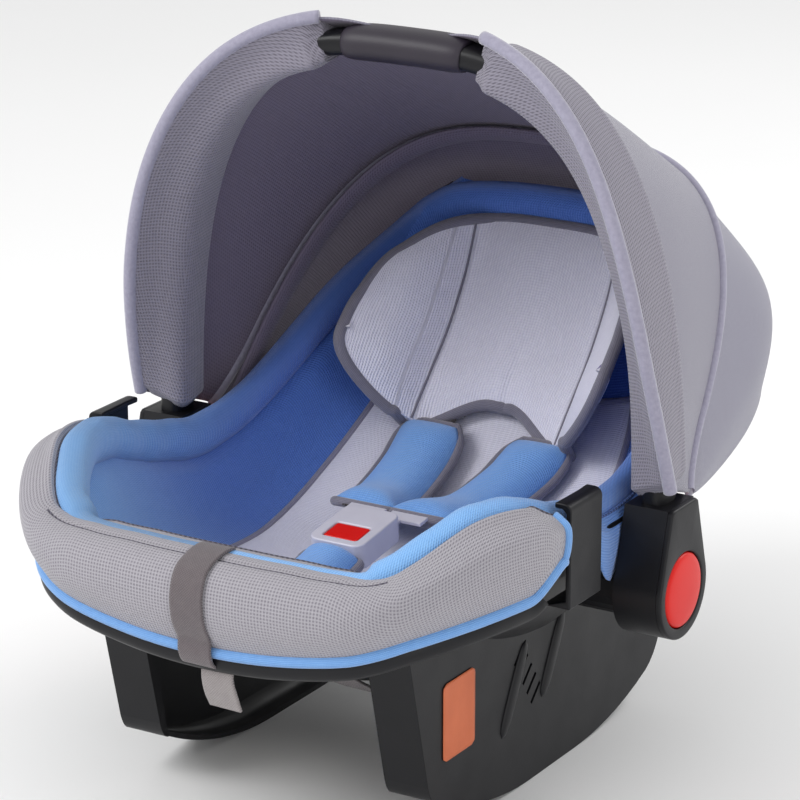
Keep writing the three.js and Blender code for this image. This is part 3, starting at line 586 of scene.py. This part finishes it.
rim_right = [*[rim(k / 22) for k in range(20)], Vector((112, 215, 328)), Vector((96, 222, 337)),
             Vector((72, 226, 342)), Vector((38, 228, 345))]
rim_loop = smooth_line([
    (0, -252, 200), (54, -251, 200), *rim_right, (0, 228, 346),
    *[Vector((-p.x, p.y, p.z)) for p in reversed(rim_right)], (-54, -251, 200), (0, -252, 200)],
    even=True)


def roll_surface(u, v):
    """The rim roll's section: an upright oval that leans inwards over the rim."""
    spot = rim_loop(v)
    run = rim_loop((v + 0.003) % 1) - rim_loop((v - 0.003) % 1)
    outward = Vector((run.y, -run.x, 0)).normalized()
    turn = u * pi
    beside_hubs = exp(-((spot.y - 5) / 70) ** 2)
    half_width = lerp(11, 9, beside_hubs)
    ripple = 0.35 * sin(v * 260) * exp(-((abs(v - 0.5) - 0.32) / 0.08) ** 2)
    high_sides = step(spot.y, -262, -205) * (1 - step(spot.y, -120, -50))
    at_head = step(spot.y, 120, 215)
    out = -6 + (half_width + high_sides + ripple) * power(cos(turn), 0.9)
    up = -2 - 7 * high_sides - 9 * at_head + (16 + ripple) * power(sin(turn), 0.9)
    return spot + outward * out + Vector((0, 0, up))


rim_roll = formed("rim_roll", roll_surface, 28, 360, [light_blue], "shell", wraps=True)


def thread_finish(name, colour, dark, light):
    """Sewing thread, one stitch every 4 mm."""
    thread = Finish(name, colour, 0.9)
    stitches = thread.wave(thread.cloth()[1], 0.004)
    thread.relief(stitches, 0.0004)
    thread.colour(thread.mixed(thread.maths("MULTIPLY_ADD", stitches, 0.5, 0.5), dark, light))
    return thread


seam_size = 1.8
seam_thread = thread_finish("dark_seam", "4b5a86", "3a4a78", "5f78b4")

for sign, side in ((1, "right"), (-1, "left")):
    def flap_surface(u, v, sign=sign):
        across = (u + 1) / 2
        spot = rim(lerp(0.405, 0.535, across))
        drop = lerp(2, -46 + 40 * abs(across - 0.4) ** 1.3 * 2, v)
        bulge = 2.5 * sin(pi * v) + 1.0 * sin(across * 9) * v + lerp(7, 2, across) * min(1, v * 4)
        return Vector((sign * (spot.x + 5 + bulge), spot.y, spot.z + drop))
    flap = formed(
        f"rim_flap_{side}", flap_surface, 30, 24, [light_blue], "shell", away_from=(0, -50, 180),
        thickness=1.8)

    def flap_seam(v, sign=sign):
        """The line of stitches that holds the flap to the roll's outer side."""
        spot = rim(lerp(0.405, 0.6, v))
        return Vector((sign * (spot.x + 5.6), spot.y, spot.z + 1))
    seam = tube(
        f"flap_seam_{side}", flap_seam, seam_size, seam_size, 80, seam_thread, "shell", around=8)

# ---- Bumper ----
# A foam-filled front edge in grey waffle mesh, sewn to the roll along its top, with a light blue
# bound hem; the harness's pull strap lies over the front and its paler tail hangs below.
bumper_stations = [
    (173, -88, 218), (170, -140, 239), (158, -190, 243), (134, -230, 221), (106, -246, 201)]
bumper_path = smooth_line([
    *bumper_stations, (54, -251, 200), (0, -252, 200), (-54, -251, 200),
    *[(-x, y, z) for x, y, z in reversed(bumper_stations)]])
hem_heights = smooth_line([
    (h, 0, 0) for h in (186, 184, 182, 175, 163, 154, 151, 154, 163, 175, 182, 184, 186)])
bumper_start = 0.062
bumper_crest = 17
front_stitch = 0.34


def bumper_surface(u, v):
    """u runs from the right belt guide round the front to the left one, v from crest to hem."""
    along = lerp(bumper_start, 1 - bumper_start, (u + 1) / 2)
    spot = bumper_path(along)
    run = bumper_path(along + 0.004) - bumper_path(along - 0.004)
    outward = Vector((-run.y, run.x, 0)).normalized()
    if outward.dot(Vector((spot.x, spot.y + 60, 0))) < 0:
        outward = -outward
    drop = spot.z + bumper_crest - hem_heights(along).x
    from_front = abs(u)
    on_side = step(from_front, 0.32, 0.55)
    edge = (lerp(-22, 5.5, on_side), lerp(9, -1, on_side), 0)
    over = (lerp(-9, 9, on_side), lerp(12, 3, on_side), 0)
    line = smooth_line([
        edge, over, (lerp(8, 15, on_side), bumper_crest - lerp(0.06, 0.24, on_side) * drop, 0),
        (24, bumper_crest - lerp(0.17, 0.3, on_side) * drop, 0), (30, bumper_crest - 0.4 * drop, 0),
        (28, bumper_crest - 0.68 * drop, 0), (17, bumper_crest - drop, 0)])
    round_end = step(from_front, 0.88, 1) ** 2
    section = line(lerp(0.42 * round_end, 1 - 0.16 * round_end, v))
    stitched = exp(-((v - front_stitch) / 0.02) ** 2) * (1 - step(from_front, 0.4, 0.55))
    out = section.x - 4 * round_end
    return spot + outward * out + Vector((0, 0, section.y - 2.2 * stitched))


def waffle_finish(name, light, dark, pitch, depth):
    """Waffle cloth: a square net of ridges round small pits, with a fine thread grain."""
    waffle = Finish(name, light, 0.85, sheen_weight=0.3, sheen_roughness=0.4)
    across, along = waffle.cloth()
    pits = waffle.net(across, along, pitch)
    waffle.relief(waffle.maths("SUBTRACT", 1.0, pits), depth)
    shade = waffle.maths("MULTIPLY_ADD", waffle.noise(0.004), 0.2, waffle.maths("MULTIPLY", pits, 0.8))
    waffle.colour(waffle.mixed(shade, light, dark))
    return waffle


grey_mesh = waffle_finish("grey_spacer_mesh", "a9a6ad", "77737d", 0.0024, 0.0006)
front_bumper = formed(
    "bumper_cover", bumper_surface, 220, 48, [grey_mesh], "shell", away_from=(0, -60, 170),
    thickness=5)
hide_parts("front_bumper")

bound_hem = knit_finish("light_blue_binding", "86b4e6", "5b8ed2", 0.0013, 0.0003, rib="across")


def hem_line(v):
    return bumper_surface(lerp(-1, 1, v), 1) + Vector((0, 0, -1))


hem = tube("bumper_hem", hem_line, 8.5, 8, 260, bound_hem, "shell", around=12)
for sign, side in ((-1, "right"), (1, "left")):
    end_piping = tube(
        f"bumper_end_{side}", lambda v, sign=sign: bumper_surface(sign, v), 6, 6, 40, bound_hem,
        "shell", around=12)


def lip_line(v):
    """The tub's front lip, which shows below the hem."""
    spot = hem_line(lerp(0.03, 0.97, v))
    return Vector((spot.x * 0.985, spot.y * 0.985, spot.z - 7))


front_lip = tube(
    "tub_front_lip", lip_line, 16, 11, 200, black_plastic, "shell", around=14)
grey_thread = thread_finish("dark_grey_seam", "5b5862", "45424d", "6f6c78")
for seam_name, seam_height, start, end in (
        ("bumper_edge_seam", 0, -1, 1), ("bumper_front_seam", front_stitch, -0.5, 0.5)):
    seam_line = [bumper_surface(lerp(start, end, k / 120), seam_height) for k in range(121)]
    seam = tube(
        seam_name, smooth_line(seam_line), seam_size, seam_size, 260, grey_thread, "shell", around=8)

strap_points = [bumper_surface(0, v) for v in (0.16, 0.24, 0.36, 0.5, 0.66, 0.82, 0.93)]
strap_end = bumper_surface(0, 1)
strap_spine = smooth_line([
    *strap_points, strap_end + Vector((0, -5, -1)), strap_end + Vector((0, -1, -9)),
    strap_end + Vector((0, 8, -13))], even=True)
tail_spine = smooth_line([
    strap_end + Vector((0, 8, -8)), strap_end + Vector((0, 6, -20)), strap_end + Vector((0, 9, -32)),
    strap_end + Vector((0, 14, -44))], even=True)


def pull_tape(spine, offset):
    """A tape along a line over the bumper, a little proud of it."""
    def at(u, v):
        spot = spine(v)
        run = (spine(min(v + 0.01, 1)) - spine(max(v - 0.01, 0))).normalized()
        lift = 2.4 + 0.5 * sin(v * 7) * u
        return Vector((offset + u * 12.5 + 1.5 * v, spot.y + run.z * lift, spot.z - run.y * lift))
    return at


pull_strap = formed(
    "pull_strap", pull_tape(strap_spine, 0), 14, 90, [brown_webbing], "shell",
    away_from=(0, 0, 190), thickness=1.7)
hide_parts("adjuster_strap")
light_webbing = webbing_finish("pale_webbing", "a39c9c", "7d7676", 0.002)
formed(
    "pull_strap_tail", pull_tape(tail_spine, 11), 14, 50, [light_webbing], "shell",
    away_from=(0, 0, 190), thickness=1.7)

# ---- Seat pad ----
# A loose white pad for the smallest babies, two layers of knit over wadding with a lilac edge.
white_knit = knit_finish("white_knit", "ecebf7", "cfcde2", 0.0018, 0.0004)
lilac_binding = knit_finish("lilac_binding", "a3a0b6", "75728a", 0.0012, 0.0003, rib="across")


def pad_base(u, v):
    """The pad lies on the bowl's floor and spreads at the front."""
    spread = 0.37 + 0.28 * (1 - step(v, 0.03, 0.18)) + 0.05 * step(v, 0.4, 0.8)
    return cover_top(u * spread, lerp(0.035, 0.745, v))


def pad_height(u, v):
    crown = (1 - abs(u) ** 6) * (1 - abs(2 * v - 1) ** 10)
    channels = 1.8 * abs(cos(v * pi * 4)) ** 0.6
    bolster = 12 * (1 - step(v, 0.05, 0.14))
    return 3 + crown * (6 + channels + bolster)


seat_pad = formed(
    "infant_pad", raised(pad_base, pad_height), 60, 110, [white_knit], "shell", thickness=3)
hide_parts("seat_pad")


def once_round(share):
    """The u and v of a sheet's edge, from one corner round to the same corner."""
    lap = (share % 1) * 4
    side, t = int(lap), lap - int(lap)
    return [(lerp(-1, 1, t), 0), (1, t), (lerp(1, -1, t), 1), (-1, 1 - t)][side]


def pad_edge(share):
    """Once round the pad's edge, drawn in a little at its corners."""
    u, v = once_round(share)
    squeeze = 1 - 0.06 * abs(2 * v - 1) ** 12
    return raised(pad_base, pad_height)(u * squeeze, v)


pad_binding = tube(
    "infant_pad_edge", pad_edge, 5, 5, 300, lilac_binding, "shell", centre=(0, 0, 900), around=10,
    joined=True)

# ---- Head support ----
# A winged cushion in pale lilac knit, wadded, in three panels with dark seams between them and
# a grey bound edge; the wings stand forward beside the baby's head.
head_spine = smooth_line([(0, 112, 184), (0, 138, 210), (0, 166, 239), (0, 194, 279), (0, 214, 325)])
head_half_width = 118
seam_at = 0.52


def head_outline(p, v):
    """The share of the way up the head end, inside an outline with round wings and an arched foot."""
    half = (1 - abs(p) ** 3.4) ** 0.42
    wing = max(0, (abs(p) - 0.42) / 0.58)
    middle = lerp(0.46, 0.25, wing ** 1.5)
    foot = 0.24 * (1 - step(abs(p), 0.06, 0.6)) - 0.05
    return lerp(middle + half * (foot - middle), middle + half * (1 - middle), v)


def head_surface(u, v):
    """u = -1 to 1 across with the points closer at the wings' tips, v from bottom to top."""
    p = sin(u * pi / 2)
    share = head_outline(p, v)
    spot = head_spine(share)
    run = (head_spine(min(share + 0.01, 1)) - head_spine(max(share - 0.01, 0))).normalized()
    wing = max(0, (abs(p) - 0.42) / 0.58)
    forward = 70 * wing ** 1.3
    edges = (1 - abs(2 * v - 1) ** 4) * (1 - abs(p) ** 5)
    seam = exp(-((abs(p) - seam_at) / 0.05) ** 2)
    puff = 6 + 13 * step(abs(p), seam_at, 0.75)
    crease = 2.2 * exp(-((p - 0.03) / 0.025) ** 2) * max(0, 0.5 - v) * 2
    rise = forward + edges * puff * (1 - 0.85 * seam) - crease + 5
    across = p * head_half_width * (1 - 0.07 * wing)
    return Vector((across, spot.y - run.z * rise, spot.z + run.y * rise))


head_knit = knit_finish("head_knit", "f4f3fd", "d3d0e4", 0.0024, 0.0006, rib="across")
gusset_knit = knit_finish("lilac_gusset", "a9a2c8", "8078a4", 0.0018, 0.0004)
head_support = formed(
    "head_cushion", head_surface, 170, 80, [head_knit, gusset_knit], "shell", thickness=7)
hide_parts("head_support")
grey_binding = knit_finish("grey_binding", "8e8b99", "625f6e", 0.0012, 0.0003, rib="across")


def head_edge(share):
    """Once round the cushion, from one wing's tip along the bottom and back along the top."""
    lap = (share % 1) * 2
    u, v = (lerp(-1, 1, lap), 0) if lap < 1 else (lerp(1, -1, lap - 1), 1)
    return head_surface(u, v) + Vector((0, 2, -2))


head_binding = tube(
    "head_cushion_edge", smooth_line([head_edge(k / 160) for k in range(161)], even=True), 9, 9, 420,
    grey_binding, "shell", centre=(0, 0, 250), around=14, joined=True)
for sign, side in ((1, "right"), (-1, "left")):
    panel_seam = tube(
        f"head_panel_seam_{side}",
        lambda v, sign=sign: head_surface(sign * asin(seam_at) * 2 / pi, lerp(0.02, 0.98, v)),
        2, 2, 80, grey_binding, "shell", around=8)

# ---- Harness ----
# Two shoulder straps and a crotch strap in dark webbing meet in a pale plastic buckle with a red
# press button; each strap runs through a blue padded sleeve with a grey bound edge.
strap_line = smooth_line([
    (0, -24, 167), (0, 2, 157), (0, 34, 155), (0, 80, 168), (0, 125, 193), (0, 150, 168),
    (0, 174, 144)])


def strap_band(line, offset, width, rise):
    """A band that follows a line, offset sideways, at a height above it."""
    def at(u, v):
        spot = line(v)
        run = (line(min(v + 0.004, 1)) - line(max(v - 0.004, 0))).normalized()
        height = rise(u, v) if callable(rise) else rise
        x = offset(v) if callable(offset) else offset
        return Vector((x + u * width / 2, spot.y - run.z * height, spot.z + run.y * height))
    return at


def part_of(line, start, end):
    return lambda v: line(lerp(start, end, v))


def strap_offset(v, sign):
    """The straps lie a little to one side, as a baby leaves them."""
    return sign * lerp(20 - 9 * sign, 47 + 4 * sign, min(1, v * 1.6))


sleeve_start, sleeve_end = 0.05, 0.61


pad_blue = knit_finish("pad_blue_knit", "86b6ee", "5b90dc", 0.0019, 0.0005)


def pad_crown(u, v):
    ends = 1 - abs(2 * v - 1) ** 8
    return 3 + 15 * (1 - abs(u) ** 2.6) ** 0.8 * ends ** 0.7


def bound_pad(name, line, offset, width, node, body="shell"):
    """A padded sleeve with rounded ends and a piping all round."""
    def rounded(u, v):
        end = max(0, abs(2 * v - 1) - 0.78) / 0.22
        return u * (1 - 0.35 * end ** 2)

    base = strap_band(line, offset, width, pad_crown)
    pad = formed(
        name, lambda u, v: base(rounded(u, v), v), 28, 60, [pad_blue], body, thickness=3)
    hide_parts(node)
    flat = strap_band(line, offset, width, 2.6)

    def edge(share):
        u, v = once_round(share)
        return flat(rounded(u, v), v)
    piping = tube(
        f"{name}_edge", smooth_line([edge(k / 64) for k in range(65)], even=True), 7, 7, 200,
        grey_binding, body, centre=(0, 0, -900), around=10, joined=True)


for sign, side in ((1, "right"), (-1, "left")):
    strap = formed(
        f"shoulder_webbing_{side}",
        strap_band(strap_line, lambda v, sign=sign: strap_offset(v, sign), 25, 1.8), 10, 90,
        [dark_webbing], "shell", thickness=1.6)
    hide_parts(f"shoulder_strap_{side}")
    bound_pad(
        f"shoulder_sleeve_{side}", part_of(strap_line, sleeve_start, sleeve_end),
        lambda v, sign=sign: strap_offset(lerp(sleeve_start, sleeve_end, v), sign), 54,
        f"shoulder_pad_{side}")

crotch_line = smooth_line([(0, -150, 150), (0, -122, 152), (0, -97, 158)])
crotch_webbing = formed(
    "crotch_webbing", strap_band(crotch_line, 0, 25, 1.8), 10, 20, [dark_webbing], "shell",
    thickness=1.6)
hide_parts("crotch_strap")
bound_pad("crotch_sleeve", part_of(crotch_line, 0.06, 0.97), lambda v: 0, 44, "crotch_pad")

buckle_plastic = Finish("pale_buckle_plastic", "c7c5d2", 0.35, coat_weight=0.2, coat_roughness=0.2)
buckle_plastic.mottled(0.02, "bfbdcb", "d2d0dc")
buckle_plastic.relief(buckle_plastic.noise(0.001, 2.0), 0.00003)
red_plastic = Finish("red_plastic", "d8140c", 0.35, specular_ior_level=0.3)
red_plastic.mottled(0.03, "d0120b", "de1a10")
red_plastic.relief(red_plastic.noise(0.001, 2.0), 0.00003)
case = moulded("buckle_case", "buckle_housing", buckle_plastic, "shell", 1.6)
press = moulded("buckle_press", "buckle_button", red_plastic, "buckle_button", 1.0)
for side in ("right", "left"):
    tongue = moulded(f"tongue_{side}", f"buckle_tongue_{side}", buckle_plastic, "shell", 0.5)

# ---- Handle ----
# One black moulded bow from hub to hub with a thicker soft grip at its top, and at each foot a
# housing with a cover, a red lock button in its outer face and a small red canopy release.
handle_half_width = 198.7
handle_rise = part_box("handle_bow")[1].z * 1000 - hub_height - 9


def arch_point(angle, half_width, rise, squareness):
    """A point on an arch in the direction of an angle from the hub's axis."""
    across, up = abs(cos(angle)) / half_width, abs(sin(angle)) / rise
    reach = (across ** squareness + up ** squareness) ** (-1 / squareness)
    return reach * cos(angle), reach * sin(angle)


def handle_line(start, end):
    """The handle's centre line between two directions from the hubs' axis."""
    def at(v):
        x, up = arch_point(lerp(start, end, v), handle_half_width, handle_rise, 3)
        return Vector((x, 0, hub_height + up))
    return at


foot = atan2(58, handle_half_width)


def bar_width(v):
    """The bar is 4 mm wider under the grip and at its two feet."""
    under_grip = step(v, 0.36, 0.4) * (1 - step(v, 0.6, 0.64))
    at_foot = 1 - step(min(v, 1 - v), 0.02, 0.05)
    return 24 + 4 * max(under_grip, at_foot)


handle_bow = tube(
    "handle_bar", handle_line(foot, pi - foot), bar_width, 18, 220, black_plastic, "handle",
    around=28, squareness=3)
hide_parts("handle_bow")

grip_plastic = Finish("dark_grip", "372f3e", 0.5)
grip_plastic.mottled(0.04, "1b1620", "2a2330")
grip_plastic.relief(grip_plastic.noise(0.0012, 2.0), 0.00012)
grip_end = atan2(handle_rise * (1 - (47 / handle_half_width) ** 3) ** (1 / 3), 47)


def grip_swell(base):
    """The grip's width or height, drawn in a little at its ends."""
    return lambda v: base * (0.86 + 0.14 * (1 - abs(2 * v - 1) ** 10))


grip = tube(
    "handle_grip_sleeve", handle_line(grip_end, pi - grip_end), grip_swell(35), grip_swell(25), 90,
    grip_plastic, "handle", around=32, squareness=2.4)
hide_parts("handle_grip")


def hub_reach(angle):
    """The teardrop's outline in a direction from the axis: a round end and a narrower top."""
    radius, top, half_top = 35, 62, 19
    tangent = 0.35
    x, y = abs(cos(angle)), sin(angle)
    if y > 0 and y / max(x, 1e-6) > top / half_top:
        return top / y
    if angle % (2 * pi) > pi or y / max(x, 1e-6) < sin(tangent) / cos(tangent):
        return radius
    ax, ay = radius * cos(tangent), radius * sin(tangent)
    bx, by = half_top, top
    return (ax * by - ay * bx) / (x * (by - ay) - y * (bx - ax))


def hub_plate(name, low_x, high_x, hole, round_over, finish, body, node, sign):
    """A teardrop plate about the axis, with a round hole if hole is a radius."""
    around = 120
    shape = bmesh.new()
    outer = bmesh.ops.create_circle(shape, segments=around, radius=1)["verts"]
    for vert in outer:
        angle = atan2(vert.co.y, vert.co.x)
        reach = hub_reach(angle)
        vert.co = Vector((sign * low_x, reach * cos(angle) + hub_y, reach * sin(angle) + hub_height))
    if hole:
        inner = bmesh.ops.create_circle(shape, segments=around, radius=1)["verts"]
        for vert in inner:
            angle = atan2(vert.co.y, vert.co.x)
            vert.co = Vector((
                sign * low_x, hole * cos(angle) + hub_y, hole * sin(angle) + hub_height))
        bmesh.ops.bridge_loops(shape, edges=shape.edges[:])
    else:
        bmesh.ops.edgeloop_fill(shape, edges=shape.edges[:])
    pushed = bmesh.ops.extrude_face_region(shape, geom=shape.faces[:])["geom"]
    moved = [g for g in pushed if isinstance(g, bmesh.types.BMVert)]
    bmesh.ops.translate(shape, verts=moved, vec=(sign * (high_x - low_x), 0, 0))
    bmesh.ops.scale(shape, verts=shape.verts[:], vec=(0.001, 0.001, 0.001))
    bmesh.ops.recalc_face_normals(shape, faces=shape.faces[:])
    rims = [
        e for e in shape.edges
        if e.calc_face_angle(0) > radians(50) and abs(abs(e.verts[0].co.x) * 1000 - high_x) < 0.01
        and abs(abs(e.verts[1].co.x) * 1000 - high_x) < 0.01]
    bmesh.ops.bevel(
        shape, geom=rims, offset=round_over / 1000, offset_type="OFFSET", segments=4, profile=0.5,
        affect="EDGES", material=-1, clamp_overlap=True)
    piece = finished(name, shape, [finish], body)
    piece.data.set_sharp_from_angle(angle=radians(35))
    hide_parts(node)
    return piece


hub_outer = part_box("hub_housing_right")[1].x * 1000
cover_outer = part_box("hub_cover_right")[1].x * 1000
button_radius = (button_high.y - button_low.y) * 500


def lock_button(name, body, node, sign):
    """A round press button with a low dome and a shallow ring moulded in its face."""
    profile = [
        (0, cover_outer + 1.8), (9, cover_outer + 1.7), (17, cover_outer + 1.4), (21, cover_outer + 1),
        (23.4, cover_outer + 0.7), (button_radius - 1.2, cover_outer + 0.1),
        (button_radius, cover_outer - 1.2), (button_radius, button_low.x * 1000)]
    shape = bmesh.new()
    verts = [shape.verts.new((sign * x / 1000, 0, r / 1000)) for r, x in profile]
    edges = [shape.edges.new(pair) for pair in zip(verts, verts[1:])]
    bmesh.ops.spin(
        shape, geom=verts + edges, cent=(0, 0, 0), axis=(1, 0, 0), angle=2 * pi, steps=72,
        use_merge=True)
    bmesh.ops.remove_doubles(shape, verts=shape.verts[:], dist=1e-6)
    bmesh.ops.holes_fill(shape, edges=[e for e in shape.edges if e.is_boundary])
    bmesh.ops.translate(shape, verts=shape.verts[:], vec=(0, hub_centre.y, hub_centre.z))
    bmesh.ops.recalc_face_normals(shape, faces=shape.faces[:])
    piece = finished(name, shape, [red_plastic], body)
    piece.data.set_sharp_from_angle(angle=radians(50))
    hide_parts(node)


for sign, side in ((1, "right"), (-1, "left")):
    housing = moulded(
        f"hub_case_{side}", f"hub_housing_{side}", black_plastic, "handle", 1.5)
    hub_plate(
        f"hub_face_{side}", hub_outer + 0.3, cover_outer, button_radius + 0.6, 1.6, black_plastic,
        "handle", f"hub_cover_{side}", sign)
    lock_button(f"lock_button_{side}", f"hub_button_{side}", f"hub_button_{side}", sign)
    release = moulded(
        f"canopy_release_{side}", f"rear_release_{side}", red_plastic, f"rear_release_{side}", 1.2)

# ---- Handle sleeves ----
# The canopy is held on the handle by a tube of fine waffle cloth on each side of the grip,
# drawn forward into a flared hem that is piped in lilac.


grey_waffle = waffle_finish("grey_waffle", "8d8996", "5d5966", 0.0026, 0.0006)
lilac_velvet = Finish("lilac_velvet", "918ea8", 0.9, sheen_weight=0.7, sheen_roughness=0.35)
lilac_velvet.mottled(0.003, "8a8799", "a5a2b4")
lilac_velvet.relief(lilac_velvet.noise(0.0012), 0.0003)

# How far the flared hem stands in front of the handle, by the direction up the arch in degrees,
# and the same for the sleeve's inner edge.
hem_forward = smooth_line([
    (18, -18, 0), (30, -33, 0), (42, -45, 0), (54, -48, 0), (66, -38, 0), (78, -17, 0), (90, 12, 0)])
inner_forward = smooth_line([
    (18, -14, 0), (30, -14, 0), (42, -15, 0), (54, -20, 0), (66, -21, 0), (78, -19, 0), (90, -10, 0)])
sleeve_foot, sleeve_top = 19.5, 80


def by_degrees(line, angle):
    return line((angle - 18) / 72).y


def off_handle(angle, out, y, sign=1):
    """A point at that direction up the arch, off the handle's centre line by out and y."""
    turn = radians(angle)
    x, up = arch_point(turn, handle_half_width, handle_rise, 3)
    reach = hypot(x, up)
    return Vector((sign * x * (1 + out / reach), y, hub_height + up * (1 + out / reach)))


def hem_point(angle, sign=1):
    out = 20 - 12 * step(angle, 79, 90)
    return off_handle(angle, out, by_degrees(hem_forward, angle), sign)


for sign, side in ((1, "right"), (-1, "left")):
    def sleeve_surface(u, v, sign=sign):
        angle = lerp(sleeve_foot, sleeve_top, v)
        front_in = off_handle(angle, -15, by_degrees(inner_forward, angle), sign)
        front = hem_point(angle, sign)
        middle = (front_in + front) / 2 + (off_handle(angle, 0, 0, sign) - front) * -0.04
        ends = 1 - 0.25 * (1 - step(v, 0, 0.03)) - 0.25 * step(v, 0.97, 1)
        ring = smooth_line([
            off_handle(angle, -14, 8, sign), front_in, middle, front, off_handle(angle, 16, 2, sign),
            off_handle(angle, 11, 19, sign), off_handle(angle, -8, 21, sign),
            off_handle(angle, -14, 8, sign), front_in, middle])
        core = off_handle(angle, 0, 0, sign)
        return core.lerp(ring(lerp(1 / 9, 8 / 9, (u + 1) / 2)), ends)
    sleeve = formed(
        f"sleeve_{side}", sleeve_surface, 48, 130, [grey_waffle], "handle", wraps=True)
    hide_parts(f"canopy_sleeve_{side}")
    front_piping = tube(
        f"front_piping_{side}",
        lambda v, sign=sign: hem_point(lerp(sleeve_foot, sleeve_top, v), sign), 9.5, 9.5, 160,
        lilac_velvet, "handle", around=14)

# ---- Canopy ----
# One sheet of fine woven cloth with a darker lining, held by the handle in front, by a sprung
# steel-grey bow in the middle and by the tub's head end behind; it gathers at each hub.
bow_lean = 40.6
gather = Vector((200, 45, 200))


def leaned(angle, half_width, rise, degrees, squareness, sign=1):
    """A point on an arch leaned back about the hubs' axis."""
    x, up = arch_point(angle, half_width, rise, squareness)
    lean = radians(degrees)
    return Vector((sign * x, up * sin(lean), hub_height + up * cos(lean)))


fabric_foot = radians(20)


def arch_angle(u):
    """u = 1 at the right foot, 0 at the top, -1 at the left foot."""
    return lerp(pi / 2, fabric_foot, abs(u))


def gathered(point, u, start=0.62):
    """Draws a point in to the tip by the hub as u nears the foot."""
    tip = Vector((gather.x * (1 if u > 0 else -1), gather.y, gather.z))
    return point.lerp(tip, step(abs(u), start, 1.0))


def side_of(u):
    return 1 if u >= 0 else -1


def bow_edge(u):
    return gathered(leaned(arch_angle(u), 190.3, 329, bow_lean, 3.2, side_of(u)), u, 0.8)


def ridge_edge(u):
    return gathered(leaned(arch_angle(u), 187.3, 321, 60.6, 5, side_of(u)), u)


def rear_edge(u):
    return gathered(leaned(arch_angle(u), 184.3, 287, 71.6, 5, side_of(u)), u)


def front_edge(u):
    """Along the flared hem, then behind the grip, where fingers go."""
    angle = lerp(90, sleeve_foot, abs(u))
    return hem_point(angle, side_of(u))


def front_panel(u, v):
    first, last = front_edge(u), bow_edge(u)
    middle = (first + last) / 2
    centre = Vector((0, 0, hub_height))
    middle += (middle - centre).normalized() * (5 - 4 * step(abs(u), 0.8, 1))
    return smooth_line([first, middle, last])(v)


def rear_panel(u, v):
    first = bow_edge(u).lerp(ridge_edge(u), 0.02)
    return smooth_line([first, ridge_edge(u), rear_edge(u)])(v)


fine_pitch = 0.0014
canopy_cloth = Finish("fine_woven_canopy", "a3a1b3", 0.6, sheen_weight=0.5, sheen_roughness=0.3)
cloth_across, cloth_along = canopy_cloth.cloth()
fine = canopy_cloth.ridges(cloth_along, fine_pitch)
pit_rows = canopy_cloth.net(cloth_across, cloth_along, 0.0026)
smooth_part = canopy_cloth.fade(cloth_along, 0.018, 0.045)
pattern = canopy_cloth.node(
    "ShaderNodeMix", {"Factor": smooth_part, 2: pit_rows, 3: canopy_cloth.maths("MULTIPLY", fine, 0.35)},
    data_type="FLOAT").outputs[0]
canopy_cloth.relief(canopy_cloth.maths("SUBTRACT", 1.0, pattern), 0.0005)
cloth_shade = canopy_cloth.maths(
    "MULTIPLY_ADD", canopy_cloth.noise(0.002), 0.25, canopy_cloth.maths("MULTIPLY", pattern, 0.7))
canopy_cloth.colour(canopy_cloth.mixed(cloth_shade, "8a8797", "62606e"))

rear_cloth = Finish("fine_woven_rear", "aeacbe", 0.6, sheen_weight=0.5, sheen_roughness=0.3)
rear_fine = rear_cloth.ridges(rear_cloth.cloth()[1], fine_pitch)
rear_cloth.relief(rear_fine, 0.0002)
rear_shade = rear_cloth.maths(
    "MULTIPLY_ADD", rear_cloth.noise(0.002), 0.35, rear_cloth.maths("MULTIPLY", rear_fine, 0.3))
rear_cloth.colour(rear_cloth.mixed(rear_shade, "8f8d9e", "6d6b7b"))

lining = Finish("dark_lining", "5f586b", 0.8, sheen_weight=0.2, sheen_roughness=0.5)
lining_weave = lining.net(*lining.cloth(), 0.0024)
lining.relief(lining_weave, 0.0003)
lining_shade = lining.maths(
    "MULTIPLY_ADD", lining.noise(0.004), 0.3, lining.maths("MULTIPLY", lining_weave, 0.7))
lining.colour(lining.mixed(lining_shade, "766d80", "50475a"))


def bends_with_handle(piece):
    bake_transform(piece)


hub_middle = (0, 0, hub_height)
front_sheet = formed(
    "canopy_front_sheet", front_panel, 140, 48, [canopy_cloth, lining], None, away_from=hub_middle,
    thickness=1.6)
bends_with_handle(front_sheet)
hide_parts("canopy_front")
rear_sheet = formed(
    "canopy_rear_sheet", rear_panel, 140, 48, [rear_cloth, lining], None, away_from=hub_middle,
    thickness=1.6)
bends_with_handle(rear_sheet)
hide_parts("canopy_rear")

hoop_plastic = Finish("dark_hoop", "2b2b30", 0.5)
hoop_plastic.mottled(0.02, "26262b", "323238")
hoop_plastic.relief(hoop_plastic.noise(0.002), 0.00004)
moulded("canopy_hoop", "canopy_bow", hoop_plastic, "canopy_bow", 0.5)

hoop_half_width, hoop_rise, hoop_foot = 180, 322, radians(22)


def hoop_line(v):
    """The cloth channel that the hoop lies in, from one side over the top to the other."""
    angle = lerp(hoop_foot, pi - hoop_foot, v)
    return leaned(angle, hoop_half_width, hoop_rise, bow_lean, 3.2)


hoop_cover = tube(
    "hoop_cover", hoop_line, 19, 6.5, 200, lining, "canopy_bow", around=16)

bow_piping = tube(
    "bow_piping", lambda v: bow_edge(lerp(1, -1, v)), 7.5, 7.5, 260, lilac_velvet, "canopy_bow",
    around=14)
